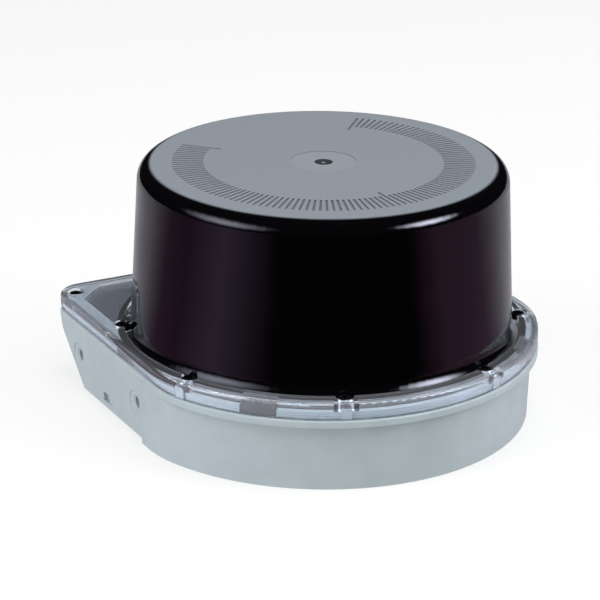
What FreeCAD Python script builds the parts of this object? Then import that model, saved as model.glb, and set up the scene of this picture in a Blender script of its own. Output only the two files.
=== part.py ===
import FreeCAD, Part
import math
import os

# Compact laser scanner, in millimetres.
# The origin lies on the scan axis at the mounting plane, +Z is up,
# -Y is the front (the middle of the scanned field) and +Y is the rear.

# Plan of the rim
half_width = 75.0          # to each flat side
front_bulge = 3.7          # radius of the round front, beyond the half width
rear_setback = 1.8         # straight rear edge, nearer the axis than the flat sides
rear_corner_radius = 10.5
side_blend_radius = 45.0   # blends the round front into the flat sides

# Cast base
base_height = 26.3         # mounting plane to the ledge that carries the clear cover
rim_band = 2.3             # height of the band that stands proud of the wall
rim_edge_radius = 0.4
front_setback = 2.4        # wall inside the rim, round the front
side_setback = 0.2         # wall inside the rim, at the flat sides
rear_overhang = 0.5        # rim beyond the wall at the rear corners
wall_draft = 0.7           # how much the wall leans in at its foot
wall_corner_radius = 10.0
wall = 3.2
floor = 3.6
rear_lift = 2.0            # underside of the rear edge above the mounting plane
lift_start = -4.2          # where that raised edge begins, along Y
foot_side_margin = 17.0    # raised foot under the rear half, inside the flat sides
foot_rear_margin = 9.0     # from that foot to the slanted wall
foot_corner_radius = 8.0
slant_run = 27.2           # from the foot of the slanted rear wall to the rear edge, along Y
slant_angle = 45.0
shelf = 3.1                # from the shelf's underside to the ledge plane
plate_ledge = 0.5          # ledge for the chassis plate, below the ledge plane
plate_ledge_width = 3.5
collar_height = 2.9        # collar above the ledge plane, inside the clear cover
stem_width = 3.7           # upright stems on the collar, behind the front screws
stem_setback = 1.5         # inside the rim
stem_inner_gap = 0.4       # to the dome's ears
stem_rise = 1.4            # above the collar
stem_gap = 0.1             # to the slots in the clear skirt
stem_screws = (-67.5, -22.5, 22.5, 67.5)

# Side fixings and side pocket
fixing_thread_radius = 2.1     # M5 tapped hole
fixing_depth = 7.5
fixing_height = 14.0
fixing_front = 0.0
fixing_rear_margin = 24.2      # rear hole to the rear edge
fixing_face_radius = 4.8
fixing_face_depth = 0.5
fixing_sink_radius = 2.9
fixing_boss_radius = 5.6
pocket_middle = 24.2
pocket_length = 7.6
pocket_low = 4.2
pocket_height = 3.4
pocket_depth = 2.0
pocket_step = 1.0

# Fixings in the underside
base_hole_x = 28.0
base_hole_margin = 5.0     # rear holes to the edge of the foot
base_hole_depth = 6.0
base_boss_radius = 5.0
base_boss_roof = 1.6

# Clear cover
rim_seal = 0.4             # flat seal under the clear skirt
seal_setback = 0.2         # seal inside the faces of the skirt
cover_inset = 0.2          # outside of the clear cover inside the rim
cover_height = 6.5
cover_edge_radius = 1.1
brim = 4.5                 # height of the cover's thick edge, above the skirt
skirt_setback = 0.5        # skirt inside that edge
skirt = 1.9
cover_top = 2.2
cover_clearance = 0.1      # cover above the collar
cover_lip_gap = 0.2        # cover round the dome's gasket
collar_gap = 0.2
channel_setout = 2.9       # from the dome's flange
channel_roof = 1.5
led_angle = 45.0
led_half_span = 4.9
led_side_gap = 0.4         # degrees, from the boards to the ends of their recess
led_roof_gap = 0.3
lamp_height = 0.8
led_setout = 1.1           # from the dome's flange
rear_pocket_side = 6.5     # rear pocket to the flat side
rear_pocket_rear = 4.3     # rear pocket to the rear edge
rear_pocket_chamfer = 11.5
rear_pocket_setout = 2.9   # from the dome's flange
rear_pocket_depth = 3.0
liner = 1.0
liner_gap = 0.3

# Optics dome
overall_height = 92.5
flange_setback = 3.7       # dome's flange inside the flat sides
dome_setback = 2.1         # foot of the dome inside its flange
dome_draft = 3.08          # degrees
dome_shoulder = 6.0
dome_wall = 2.4
flange = 1.4
cove_height = 5.4          # hollow curve from the flange up into the side
flange_gap = 0.3           # to the clear cover
gasket = 0.6
gasket_setout = 2.7        # beyond the flange, under the lip of the clear cover
gasket_lap = 3.4           # inside the flange
gasket_margin = 0.4        # from the gasket to the opening in the collar
gate_radius = 11.9         # shallow round recess in the middle of the top
gate_depth = 0.3
gate_dimple_radius = 3.3
gate_dimple_depth = 1.0
gate_stub_radius = 1.2
gate_stub = 0.7

# Graduated scale engraved in the dome's top
tick_pitch = 2.5           # degrees
tick_span = 137.5          # degrees each way from the front
tick_outer_margin = 15.4   # from the foot of the dome
tick_length = 11.2
end_tick_extra = 4.0       # the two end ticks and the middle one are longer
tick_width = 0.85
tick_depth = 0.4

# Screws round the dome, M2.5
screw_setout = 1.0         # screw centres beyond the flange
screw_count = 8
first_screw = 22.5
ear_radius = 3.0
notch_gap = 0.2
screw_head_radius = 2.4
screw_head = 1.5
screw_shank_radius = 1.2
screw_length = 6.0
screw_gap = 0.05
head_clearance = 0.5       # cove to the screw heads

# Screws in the rear corners
corner_side = 6.3          # to the flat side
corner_rear = 8.4          # to the rear edge
corner_sink_radius = 3.2
corner_seat = 1.6          # plastic left under the screw head

# Round connectors on the slanted wall
connector_pitch = 30.0
connector_up = 13.2        # along the slanted wall, from its foot
connector_thread_radius = 6.0
connector_bore_radius = 4.35
connector_relief = 0.8     # groove between the thread and the flange
connector_relief_radius = 5.4
connector_reach = 9.5
connector_body_radius = 7.0
connector_body_depth = 8.5
connector_flange_radius = 8.0
connector_flange = 2.0
seal_thickness = 0.8
seal_width = 0.9
nut_across_flats = 17.0
nut_thickness = 3.0
nut_gap = 0.05
carrier_gap = 0.1
socket_floor = 3.0         # depth left open inside a connector with pins, from its flange
pin_radius = 0.5
pin_circle = 2.75
pin_reach = 8.2
pin_hole_gap = 0.05
wire_board_length = 84.0
wire_board_height = 10.0
wire_board_gap = 0.3
board = 1.6

# Chassis plate and its columns
plate = 3.0
plate_gap = 0.3
column_setback = 9.5       # column centres inside the opening
column_radius = 4.6
column_angles = (-120.0, -50.0, 50.0, 120.0)
column_screw_radius = 1.5
column_screw_length = 11.0
column_head_radius = 2.8
column_head = 1.9
window_inner = 24.0        # windows that lighten the plate
window_margin = 8.0        # from their outer edge to the columns' circle
window_middle = 120.0
window_half_span = 14.0
front_window_half_span = 30.0

# Main board
board_height = 9.0
board_setback = 16.5       # round edge inside the opening
board_rear_margin = 3.1    # straight edge to the foot of the slanted wall
board_opening = 10.5
board_pad_setback = 6.0    # screw centres inside the round edge
board_pad_radius = 3.4
board_pad_angles = (-150.0, -90.0, -30.0, 30.0, 90.0, 150.0)
board_screw_radius = 1.0
board_screw_length = 5.0
board_head_radius = 1.9
board_head = 1.2

# Bearing tube, bearings and shaft
shaft_radius = 2.5
running_gap = 0.03
bearing_radius = 5.5
bearing_width = 4.0
bearing_seat_gap = 0.03
tube_radius = 8.0
tube_low = 14.0
tube_rise = 11.5           # above the chassis plate
tube_flange_radius = 14.0
tube_flange = 2.0
tube_plate_gap = 0.1
bearing_setback = 1.0
shaft_low = 11.6
clip_radius = 4.2
clip = 0.7
axial_gap = 0.2
tube_screw_circle = 11.3
tube_screw_count = 4
tube_screw_radius = 1.0
tube_screw_head_radius = 1.9

# Motor
stator_radius = 19.3
stator_height = 6.0
stator_lift = 4.0          # above the chassis plate
stator_core_radius = 11.2
tooth_count = 9
tooth_width = 3.0
tooth_tip = 1.3
tooth_tip_width = 9.6
coil = 1.0
coil_inner = 11.6
coil_outer = 17.6
fit_gap = 0.05
air_gap = 0.6
magnet = 2.0
magnet_height = 7.0
hub_skirt = 2.0
hub_skirt_gap = 1.6        # above the chassis plate
hub_disc_radius = 30.0
hub_disc = 2.0
hub_lift = 1.0             # above the bearing tube
hub_boss_radius = 4.8
hub_boss = 6.0

# Rotating encoder and mirror
encoder_inner = 24.4
encoder_outer = 36.0
encoder_disc_thickness = 0.6
encoder_slot_inner = 32.4
encoder_slot_outer = 35.0
encoder_slot_count = 36
encoder_slot_width = 1.6
carrier_margin = 1.5       # carrier beyond the mirror
mirror_lift = 1.6          # lowest edge of the mirror above the hub
mirror = 2.5
weight_inner = 22.0
weight_outer = 29.0
weight = 1.8
weight_half_span = 50.0
reader_inner = 31.5
reader_slot_end = 37.8
reader_outer = 42.5
reader_half_width = 5.0
reader_jaw = 2.2
reader_gap = 1.2

# Bridge over the mirror
bridge_angle = 180.0       # behind the mirror
bridge_setback = 6.5       # inside the opening
bridge_depth = 10.0
bridge_half_span = 22.0
bridge_foot_depth = 11.0   # foot in front of the column
bridge_foot_half_span = 33.0
bridge_foot = 3.0
bridge_screw_inset = 5.5   # screw centres from the foot's front edge
bridge_screw_angles = (152.0, 170.0, 190.0, 208.0)
bridge_screw_radius = 1.2
bridge_head_radius = 2.2
bridge_head = 1.5
arm = 3.5
arm_gap = 1.5              # above the highest rotating edge
arm_ring_margin = 4.5      # beyond the lens barrel
arm_half_width = 15.0
rib = 2.5
rib_depth = 16.0

# Lens barrel, lens, laser and receiver
barrel_wall = 2.0
barrel_gap = 0.1
barrel_flange_width = 3.0
barrel_flange = 1.5
barrel_rise = 3.2
barrel_neck_margin = 1.5
lens_margin = 0.5          # lens beyond the mirror
head_room = 4.9            # receiver board to the inside of the dome
lens_gap = 0.1
lens_edge = 1.2
lens_bulge = 1.5
lens_lip = 1.2             # lip over the flat rim of the lens
lens_hole_radius = 3.8
laser_gap = 0.05
laser_room = 0.4           # from the laser to the detector above it
laser_cap_radius = 2.6
chip_width = 4.2
chip_height = 1.5


def point(x, y, z=0.0):
    return FreeCAD.Vector(x, y, z)


def polar(radius, degrees, z=0.0):
    """A point at an angle from the front, positive towards +X."""
    turn = math.radians(degrees)
    return point(radius * math.sin(turn), -radius * math.cos(turn), z)


def drum(radius, low, high, centre=(0.0, 0.0)):
    return Part.makeCylinder(radius, high - low, point(centre[0], centre[1], low))


def ring(outer, inner, low, high, centre=(0.0, 0.0)):
    return drum(outer, low, high, centre).cut(drum(inner, low - 1.0, high + 1.0, centre))


def block(x, y, z):
    """A box from (low, high) pairs."""
    return Part.makeBox(x[1] - x[0], y[1] - y[0], z[1] - z[0], point(x[0], y[0], z[0]))


def polygon(points):
    return Part.Face(Part.makePolygon(points + [points[0]]))


def turned(profile):
    """A full turn of a closed (radius, height) profile."""
    face = polygon([point(r, 0.0, z) for r, z in profile])
    return face.revolve(point(0, 0, 0), point(0, 0, 1), 360)


def across(profile, half):
    """A (y, z) profile carried across the width from -half to +half."""
    face = polygon([point(-half, y, z) for y, z in profile])
    return face.extrude(point(2.0 * half, 0, 0))


def upright(points, low, high):
    """An (x, y) outline carried from low to high."""
    return polygon([point(x, y, low) for x, y in points]).extrude(point(0, 0, high - low))


def sector(inner, outer, start, stop, low, high):
    """Part of a ring between two angles from the front."""
    middle = (start + stop) / 2.0
    edges = [
        Part.Arc(polar(outer, start, low), polar(outer, middle, low), polar(outer, stop, low)).toShape(),
        Part.LineSegment(polar(outer, stop, low), polar(inner, stop, low)).toShape(),
        Part.Arc(polar(inner, stop, low), polar(inner, middle, low), polar(inner, start, low)).toShape(),
        Part.LineSegment(polar(inner, start, low), polar(outer, start, low)).toShape(),
    ]
    return Part.Face(Part.Wire(edges)).extrude(point(0, 0, high - low))


def turn_about_axis(shape, degrees):
    copy = shape.copy()
    copy.rotate(point(0, 0, 0), point(0, 0, 1), degrees)
    return copy


def mirrored(shape):
    return shape.mirror(point(0, 0, 0), point(1, 0, 0))


def hexagon(across_flats, low, high, centre=(0.0, 0.0)):
    corner = across_flats / 2.0 / math.cos(math.radians(30))
    points = []
    for step in range(6):
        angle = math.radians(30 + 60 * step)
        points.append((centre[0] + corner * math.cos(angle), centre[1] + corner * math.sin(angle)))
    return upright(points, low, high)


def joined(shapes):
    return shapes[0].fuse(shapes[1:]).removeSplitter()


# Plan worked out from the driving sizes
front_radius = half_width + front_bulge
rear_reach = half_width - rear_setback
slant_foot = rear_reach - slant_run
foot_half_width = half_width - foot_side_margin
foot_rear = slant_foot - foot_rear_margin
fixing_rear = rear_reach - fixing_rear_margin
base_hole_y = foot_rear - base_hole_margin
skirt_outer = cover_inset + skirt_setback
skirt_inner = skirt_outer + skirt
collar_inset = skirt_inner + collar_gap
flange_radius = half_width - flange_setback
dome_foot_radius = flange_radius - dome_setback
gasket_outer = flange_radius + gasket_setout
gasket_inner = flange_radius - gasket_lap
collar_opening = gasket_inner - gasket_margin
screw_circle = flange_radius + screw_setout
channel_inner = flange_radius + channel_setout
led_inner = flange_radius + led_setout
rear_pocket_x = half_width - rear_pocket_side
rear_pocket_y = rear_reach - rear_pocket_rear
rear_pocket_radius = flange_radius + rear_pocket_setout
corner_x = half_width - corner_side
corner_y = rear_reach - corner_rear
column_circle = collar_opening - column_setback
board_radius = collar_opening - board_setback
board_rear = slant_foot - board_rear_margin
board_pad_circle = board_radius - board_pad_setback
bridge_outer = collar_opening - bridge_setback
bridge_inner = bridge_outer - bridge_depth
bridge_foot_inner = bridge_inner - bridge_foot_depth
bridge_screw_circle = bridge_foot_inner + bridge_screw_inset

# Heights worked out from the driving sizes
rim_low = base_height - rim_band
shelf_low = base_height - shelf
plate_low = base_height - plate_ledge
plate_top = plate_low + plate
collar_top = base_height + collar_height
cover_high = base_height + cover_height
flange_low = collar_top + gasket
flange_top = flange_low + flange
rear_wall = rear_reach - rear_overhang
stem_top = collar_top + stem_rise
cover_opening = flange_radius + flange_gap
screw_angles = [first_screw + k * 360.0 / screw_count for k in range(screw_count)]
notch_radius = ear_radius + notch_gap
screw_tip = flange_top - screw_length
slant = math.radians(slant_angle)


def plan_wire(radius, half, rear, corner, blend, z):
    """The plan outline: round front, two flat sides and a straight rear."""
    along = math.sqrt((radius - blend) ** 2 - (half - blend) ** 2)
    centre = point(half - blend, -along, z)
    on_circle = point(centre.x * radius / (radius - blend), centre.y * radius / (radius - blend), z)
    on_side = point(half, -along, z)
    between = math.atan2(on_circle.y - centre.y, on_circle.x - centre.x) / 2.0
    on_blend = point(centre.x + blend * math.cos(between), centre.y + blend * math.sin(between), z)
    slope = corner * (1.0 - math.sqrt(0.5))
    side_end = point(half, rear - corner, z)
    on_corner = point(half - slope, rear - slope, z)
    rear_end = point(half - corner, rear, z)

    def left(p):
        return point(-p.x, p.y, z)

    edges = [
        Part.Arc(left(on_circle), point(0, -radius, z), on_circle).toShape(),
        Part.Arc(on_circle, on_blend, on_side).toShape(),
        Part.LineSegment(on_side, side_end).toShape(),
        Part.Arc(side_end, on_corner, rear_end).toShape(),
        Part.LineSegment(rear_end, left(rear_end)).toShape(),
        Part.Arc(left(rear_end), left(on_corner), left(side_end)).toShape(),
        Part.LineSegment(left(side_end), left(on_side)).toShape(),
        Part.Arc(left(on_side), left(on_blend), left(on_circle)).toShape(),
    ]
    return Part.Wire(edges)


def rim_wire(inset, z):
    return plan_wire(front_radius - inset, half_width - inset, rear_reach - inset,
                     rear_corner_radius - inset, side_blend_radius - inset, z)


def rim_prism(inset, low, high):
    return Part.Face(rim_wire(inset, low)).extrude(point(0, 0, high - low))


def wall_wire(inset, z):
    """The outline of the drafted wall at one height."""
    inward = inset + wall_draft * (1.0 - z / rim_low)
    return plan_wire(front_radius - front_setback - inward, half_width - side_setback - inward,
                     rear_wall - inward, wall_corner_radius - inward, side_blend_radius - inward, z)


def wall_body(inset, low, high):
    return Part.makeLoft([wall_wire(inset, low), wall_wire(inset, high)], True, True)


def slant_wedge(inward):
    """Everything below and behind the slanted rear wall, moved in by a distance."""
    rise = inward / math.cos(slant)
    start = slant_foot - base_height
    stop = rear_reach + base_height

    def height(y):
        return rear_lift + (y - slant_foot) * math.tan(slant) + rise

    profile = [(start, height(start)), (stop, height(stop)), (stop, height(start))]
    return across(profile, front_radius + 10.0)


def onto_slant(shape, x):
    """Moves a shape built on +Z so that it points out of the slanted wall at x."""
    placed = shape.copy()
    placed.rotate(point(0, 0, 0), point(1, 0, 0), slant_angle - 180.0)
    placed.translate(point(x, slant_foot + connector_up * math.cos(slant),
                           rear_lift + connector_up * math.sin(slant)))
    return placed


# Base housing

def base_foot(inset, low, high):
    """The raised foot under the rear half."""
    side = foot_half_width - inset
    foot = block((-side, side), (lift_start - 2.0 * wall, foot_rear - inset), (low, high))
    corners = [edge for edge in foot.Edges
               if abs(edge.Vertexes[0].Z - edge.Vertexes[-1].Z) > 0.5 * (high - low)
               and edge.Vertexes[0].Y > lift_start]
    return foot.makeFillet(foot_corner_radius - inset, corners)


def base_underside():
    """What is taken away under the raised rear edge."""
    reach = front_radius + 10.0
    space = block((-reach, reach), (lift_start, reach), (-1.0, rear_lift))
    return space.cut(base_foot(0.0, -2.0, rear_lift + 1.0))


def base_cavity():
    """The room inside the base, below the shelf."""
    upper = wall_body(wall, rear_lift + floor, shelf_low)
    upper = upper.cut(slant_wedge(wall))
    front = wall_body(wall, floor, rear_lift + floor + 0.5)
    reach = front_radius + 10.0
    front_part = front.common(block((-reach, reach), (-reach, lift_start - wall), (-1.0, base_height)))
    foot_part = base_foot(wall, floor, rear_lift + floor + 0.5).common(front)
    return joined([upper, front_part, foot_part])


def side_fixings():
    """Bosses and cutters of the tapped holes in the left side."""
    face = -(half_width - side_setback)
    bosses = []
    cutters = []
    for y in (fixing_front, fixing_rear):
        start = point(face - 1.0, y, fixing_height)
        along = point(1, 0, 0)
        boss = Part.makeCylinder(fixing_boss_radius, fixing_depth + 3.0, point(face + wall / 2.0, y, fixing_height),
                                 along)
        bosses.append(boss)
        spot = Part.makeCylinder(fixing_face_radius, 1.0 + fixing_face_depth, start, along)
        hole = Part.makeCylinder(fixing_thread_radius, 1.0 + fixing_face_depth + fixing_depth, start, along)
        sink_depth = fixing_sink_radius - fixing_thread_radius
        sink = Part.makeCone(fixing_sink_radius, fixing_thread_radius, sink_depth,
                             point(face + fixing_face_depth, y, fixing_height), along)
        cutters.extend([spot, hole, sink])
    return bosses, cutters


def side_pocket():
    """The small rectangular pocket low in the left side, with a step inside it."""
    face = -(half_width - side_setback)
    low_y = pocket_middle - pocket_length / 2.0
    high_y = pocket_middle + pocket_length / 2.0
    top = pocket_low + pocket_height
    shallow = block((face - 2.0, face + pocket_depth - pocket_step), (low_y, high_y), (pocket_low, top))
    deep = block((face - 2.0, face + pocket_depth), (pocket_middle, high_y), (pocket_low, top))
    return shallow.fuse(deep)


def rear_pocket():
    """The pocket beside the dome in the left rear corner, as an upright outline."""
    x = -rear_pocket_x
    y = rear_pocket_y
    cut = rear_pocket_chamfer
    inner_x = x / 3.0
    inner_y = y / 3.0
    points = [(x, inner_y), (x, y - cut), (x + cut, y), (inner_x, y), (inner_x, inner_y)]
    screws = [k for k in screw_angles if 90.0 < k < 180.0]

    def between(low, high, inset=0.0):
        area = upright(points, low, high)
        area = area.cut(drum(rear_pocket_radius, low - 1.0, high + 1.0))
        for angle in screws:
            place = polar(screw_circle, -angle)
            area = area.cut(drum(notch_radius + 1.2, low - 1.0, high + 1.0, (place.x, place.y)))
        pieces = sorted(area.Solids, key=lambda piece: piece.Volume)
        area = pieces[-1]
        if inset > 0.0:
            walls = [face for face in area.Faces if abs(face.normalAt(0, 0).z) < 0.5]
            area = shrunk(area, inset, low, high, walls)
        return area

    return between


def shrunk(area, inset, low, high, walls):
    """An upright solid with its walls moved in by a distance."""
    bottom = [face for face in area.Faces if abs(face.CenterOfMass.z - low) < 1e-6][0]
    smaller = bottom.OuterWire.makeOffset2D(-inset)
    return Part.Face(smaller).extrude(point(0, 0, high - low))


def base_housing():
    body = wall_body(0.0, 0.0, rim_low)
    body = body.cut(slant_wedge(0.0))
    rim = rounded_top(rim_prism(0.0, rim_low, base_height), rim_edge_radius)
    collar = rim_prism(collar_inset, base_height, collar_top)
    body = joined([body, rim, collar])
    body = body.cut(base_cavity())

    # the opening under the dome, with the ledge for the chassis plate
    opening = drum(collar_opening, plate_low, collar_top + 1.0)
    through = drum(collar_opening - plate_ledge_width, shelf_low - 1.0, collar_top + 1.0)
    through = through.cut(slant_wedge(wall))
    body = body.cut([opening, through])

    # columns, board pads and floor bosses
    posts = []
    for angle in column_angles:
        place = polar(column_circle, angle)
        posts.append(drum(column_radius, floor / 2.0, plate_low, (place.x, place.y)))
    for angle in board_pad_angles:
        place = polar(board_pad_circle, angle)
        posts.append(drum(board_pad_radius, floor / 2.0, board_height, (place.x, place.y)))
    for x in (-base_hole_x, base_hole_x):
        for y in (-base_hole_y, base_hole_y):
            posts.append(drum(base_boss_radius, floor / 2.0, base_hole_depth + base_boss_roof, (x, y)))
    left_bosses, left_cutters = side_fixings()
    fixing_bosses = left_bosses + [mirrored(shape) for shape in left_bosses]
    fixing_bosses = [shape.cut(slant_wedge(0.0)) for shape in fixing_bosses]
    body = joined([body] + posts + fixing_bosses + [collar_stem(angle) for angle in stem_screws])
    body = body.cut(base_underside())

    # tapped holes
    cutters = left_cutters + [mirrored(shape) for shape in left_cutters]
    for angle in column_angles:
        place = polar(column_circle, angle)
        cutters.append(drum(column_screw_radius + screw_gap, plate_top - column_screw_length - 0.5,
                            plate_low + 1.0, (place.x, place.y)))
    for angle in board_pad_angles:
        place = polar(board_pad_circle, angle)
        cutters.append(drum(board_screw_radius + screw_gap, board_height + board - board_screw_length - 0.5,
                            board_height + 1.0, (place.x, place.y)))
    for x in (-base_hole_x, base_hole_x):
        for y in (-base_hole_y, base_hole_y):
            cutters.append(drum(fixing_thread_radius, -1.0, base_hole_depth, (x, y)))
    for angle in screw_angles:
        place = polar(screw_circle, angle)
        cutters.append(drum(screw_shank_radius + screw_gap, screw_tip - 0.4, collar_top + 1.0,
                            (place.x, place.y)))
    for x in (-corner_x, corner_x):
        cutters.append(drum(screw_shank_radius + screw_gap, corner_tip() - 0.4, collar_top + 1.0,
                            (x, corner_y)))

    # openings for the connectors
    hole = drum(connector_body_radius + screw_gap, -wall - 2.0, 2.0)
    for x in connector_places():
        cutters.append(onto_slant(hole, x))

    # recesses under the clear cover
    pocket = rear_pocket()(collar_top - rear_pocket_depth, collar_top + 1.0)
    lights = led_recess(collar_top + 1.0)
    cutters.extend([pocket, mirrored(pocket), lights, mirrored(lights), side_pocket(), mirrored(side_pocket())])
    return body.cut(cutters).removeSplitter()


def collar_stem(angle, gap=0.0):
    """An upright stem on the collar, outside one of the front screws."""
    half = stem_width / 2.0 + gap
    inner = screw_circle + ear_radius + stem_inner_gap
    if gap > 0.0:
        inner = screw_circle + ear_radius - gap
    stem = block((inner, front_radius - stem_setback + gap), (-half, half), (base_height, stem_top + gap))
    return turn_about_axis(stem, angle - 90.0)


def corner_tip():
    return base_height + corner_seat + collar_height - screw_length


def connector_places():
    return (-connector_pitch, 0.0, connector_pitch)


def led_recess(high):
    """Room for one lamp board in the collar, on the +X side."""
    return sector(led_inner, front_radius, led_angle - led_half_span, led_angle + led_half_span,
                  base_height, high)


# Clear cover

def notch(angle, low, high):
    """A U-shaped notch, open towards the dome."""
    place = (screw_circle, 0.0)
    shape = drum(notch_radius, low, high, place)
    mouth = block((cover_opening - 3.0, screw_circle), (-notch_radius, notch_radius), (low, high))
    return turn_about_axis(shape.fuse(mouth), angle - 90.0)


def rounded_top(body, radius):
    """Rounds the edges of a solid's top face."""
    high = body.BoundBox.ZMax
    top_edges = [edge for edge in body.Edges
                 if all(abs(vertex.Z - high) < 1e-6 for vertex in edge.Vertexes)]
    return body.makeFillet(radius, top_edges)


def clear_cover():
    edge = rounded_top(rim_prism(cover_inset, cover_high - brim, cover_high), cover_edge_radius)
    body = joined([edge, rim_prism(skirt_outer, base_height + rim_seal, cover_high - brim)])
    inside = rim_prism(skirt_inner, base_height - 1.0, collar_top + cover_clearance)
    cutters = [drum(cover_opening, base_height - 1.0, cover_high + 1.0), inside]
    cutters.append(drum(gasket_outer + cover_lip_gap, base_height - 1.0, flange_low))
    for angle in screw_angles:
        cutters.append(notch(angle, collar_top, cover_high + 1.0))
    for angle in stem_screws:
        cutters.append(collar_stem(angle, stem_gap))
    for x in (-corner_x, corner_x):
        cutters.append(drum(screw_shank_radius + 0.3, base_height, cover_high + 1.0, (x, corner_y)))
        cutters.append(drum(corner_sink_radius, collar_top + corner_seat, cover_high + 1.0, (x, corner_y)))

    # hollow channel over the collar between the front notches
    clear = math.degrees((notch_radius + skirt / 2.0) / channel_inner)
    inner_area = rim_prism(skirt_inner, base_height, cover_high)
    pitch = 360.0 / screw_count
    for middle in (-pitch, 0.0, pitch):
        channel = sector(channel_inner, front_radius, middle - pitch / 2.0 + clear, middle + pitch / 2.0 - clear,
                         collar_top - 0.5, cover_high - channel_roof)
        cutters.append(channel.common(inner_area))

    # room for the lamp boards
    lights = led_recess(led_roof()).common(inner_area)
    cutters.extend([lights, mirrored(lights)])

    # hollow over each rear pocket
    hollow = rear_pocket()(collar_top - 0.5, cover_high - cover_top)
    cutters.extend([hollow, mirrored(hollow)])
    return body.cut(cutters).removeSplitter()


def rim_gasket():
    """Flat seal on the ledge, under the clear skirt."""
    outer = rim_prism(skirt_outer + seal_setback, base_height, base_height + rim_seal)
    stems = [collar_stem(angle, stem_gap) for angle in stem_screws]
    return outer.cut([rim_prism(skirt_inner - seal_setback, base_height - 1.0, base_height + 1.0)] + stems)


def corner_liner():
    """Dark liners on the floors of the two rear pockets."""
    low = collar_top - rear_pocket_depth
    left = rear_pocket()(low, low + liner, liner_gap)
    return Part.makeCompound([left, mirrored(left)])


def led_roof():
    """The underside of the clear cover over the lamp boards."""
    return cover_high - channel_roof


def led_seat():
    return led_roof() - led_roof_gap - lamp_height


def status_led_boards():
    """Lamp boards in dark moulded blocks, one at each side of the front."""
    right = sector(led_inner + liner_gap, inner_led_edge(), led_angle - led_half_span + led_side_gap,
                   led_angle + led_half_span - led_side_gap, base_height, led_seat())
    return Part.makeCompound([right, mirrored(right)])


def inner_led_edge():
    return front_radius - collar_inset


def status_leds():
    """Two lamps on each board."""
    lamps = []
    circle = (led_inner + inner_led_edge()) / 2.0 + liner_gap / 2.0
    for shift in (-led_half_span / 2.0, led_half_span / 2.0):
        place = polar(circle, led_angle + shift)
        lamp = turn_about_axis(block((circle - 0.9, circle + 0.9), (-1.6, 1.6),
                                     (led_seat(), led_seat() + lamp_height)),
                               led_angle + shift - 90.0)
        lamps.extend([lamp, mirrored(lamp)])
    return Part.makeCompound(lamps)


# Optics dome and its fixings

def dome_side(z):
    return dome_foot_radius - (z - flange_top) * math.tan(math.radians(dome_draft))


def dome_profile(offset):
    """The (radius, height) corners of the dome's skin, moved in by a distance."""
    lean = math.radians(dome_draft)
    high = overall_height - offset
    side_shift = offset / math.cos(lean)
    corner = dome_side(high) - side_shift
    return high, corner, side_shift


def dome_shell(offset, low, extra):
    """A solid of the dome's skin, moved in by a distance, down to a height."""
    high, corner, shift = dome_profile(offset)
    foot = dome_side(low) - shift
    body = turned([(0.0, low - extra), (foot, low - extra), (foot, low), (corner, high), (0.0, high)])
    top_edge = [edge for edge in body.Edges
                if abs(edge.Vertexes[0].Z - high) < 1e-6 and edge.Length > 2.0 * corner]
    return body.makeFillet(dome_shoulder - offset, top_edge)


def dome_cove():
    """The hollow curve round the foot, from the flange's edge up into the leaning side."""
    high = flange_top + cove_height
    start = point(dome_side(high), 0, high)
    edge = point(flange_radius, 0, flange_top)
    lean = math.radians(dome_draft)
    outward = point(math.cos(lean), 0, math.sin(lean))
    chord = edge - start
    radius = chord.Length ** 2 / (2.0 * chord.dot(outward))
    centre = start + outward * radius
    halfway = (start - centre) + (edge - centre)
    on_arc = centre + halfway * (radius / halfway.Length)
    back = dome_wall / 2.0
    corners = [edge, point(dome_side(flange_top) - back, 0, flange_top), point(start.x - back, 0, high), start]
    edges = [Part.Arc(start, on_arc, edge).toShape()]
    for k in range(3):
        edges.append(Part.LineSegment(corners[k], corners[k + 1]).toShape())
    cove = Part.Face(Part.Wire(edges)).revolve(point(0, 0, 0), point(0, 0, 1), 360)
    heads = []
    for angle in screw_angles:
        place = polar(screw_circle, angle)
        heads.append(drum(screw_head_radius + head_clearance, flange_top, high + 1.0, (place.x, place.y)))
    return cove.cut(heads)


def scale_ticks():
    """Cutters of the engraved scale: one tick for each step of the scanned field."""
    outer = dome_foot_radius - tick_outer_margin
    steps = int(round(2.0 * tick_span / tick_pitch))
    ticks = []
    for step in range(steps + 1):
        extra = end_tick_extra if step in (0, steps // 2, steps) else 0.0
        tick = block((outer - tick_length - extra, outer), (-tick_width / 2.0, tick_width / 2.0),
                     (overall_height - tick_depth, overall_height + 1.0))
        ticks.append(turn_about_axis(tick, step * tick_pitch - tick_span - 90.0))
    return ticks


def optics_dome():
    skin = dome_shell(0.0, flange_top, 0.0)
    foot = turned([(0.0, flange_low), (flange_radius, flange_low), (flange_radius, flange_top), (0.0, flange_top)])
    parts = [skin, foot, dome_cove()]
    for angle in screw_angles:
        place = polar(screw_circle, angle)
        parts.append(drum(ear_radius, flange_low, flange_top, (place.x, place.y)))
    body = joined(parts)
    cutters = [dome_shell(dome_wall, flange_top, flange + 1.0)]
    for angle in screw_angles:
        place = polar(screw_circle, angle)
        cutters.append(drum(screw_shank_radius + 0.25, flange_low - 1.0, flange_top + 2.0, (place.x, place.y)))
    cutters.append(drum(gate_radius, overall_height - gate_depth, overall_height + 1.0))
    dimple = overall_height - gate_depth - gate_dimple_depth
    hollow = Part.makeCone(gate_dimple_radius - gate_dimple_depth, gate_dimple_radius,
                           gate_dimple_depth, point(0, 0, dimple))
    cutters.append(hollow.cut(drum(gate_stub_radius, dimple - 1.0, dimple + gate_stub)))
    return body.cut(cutters).cut(scale_ticks())


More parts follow.
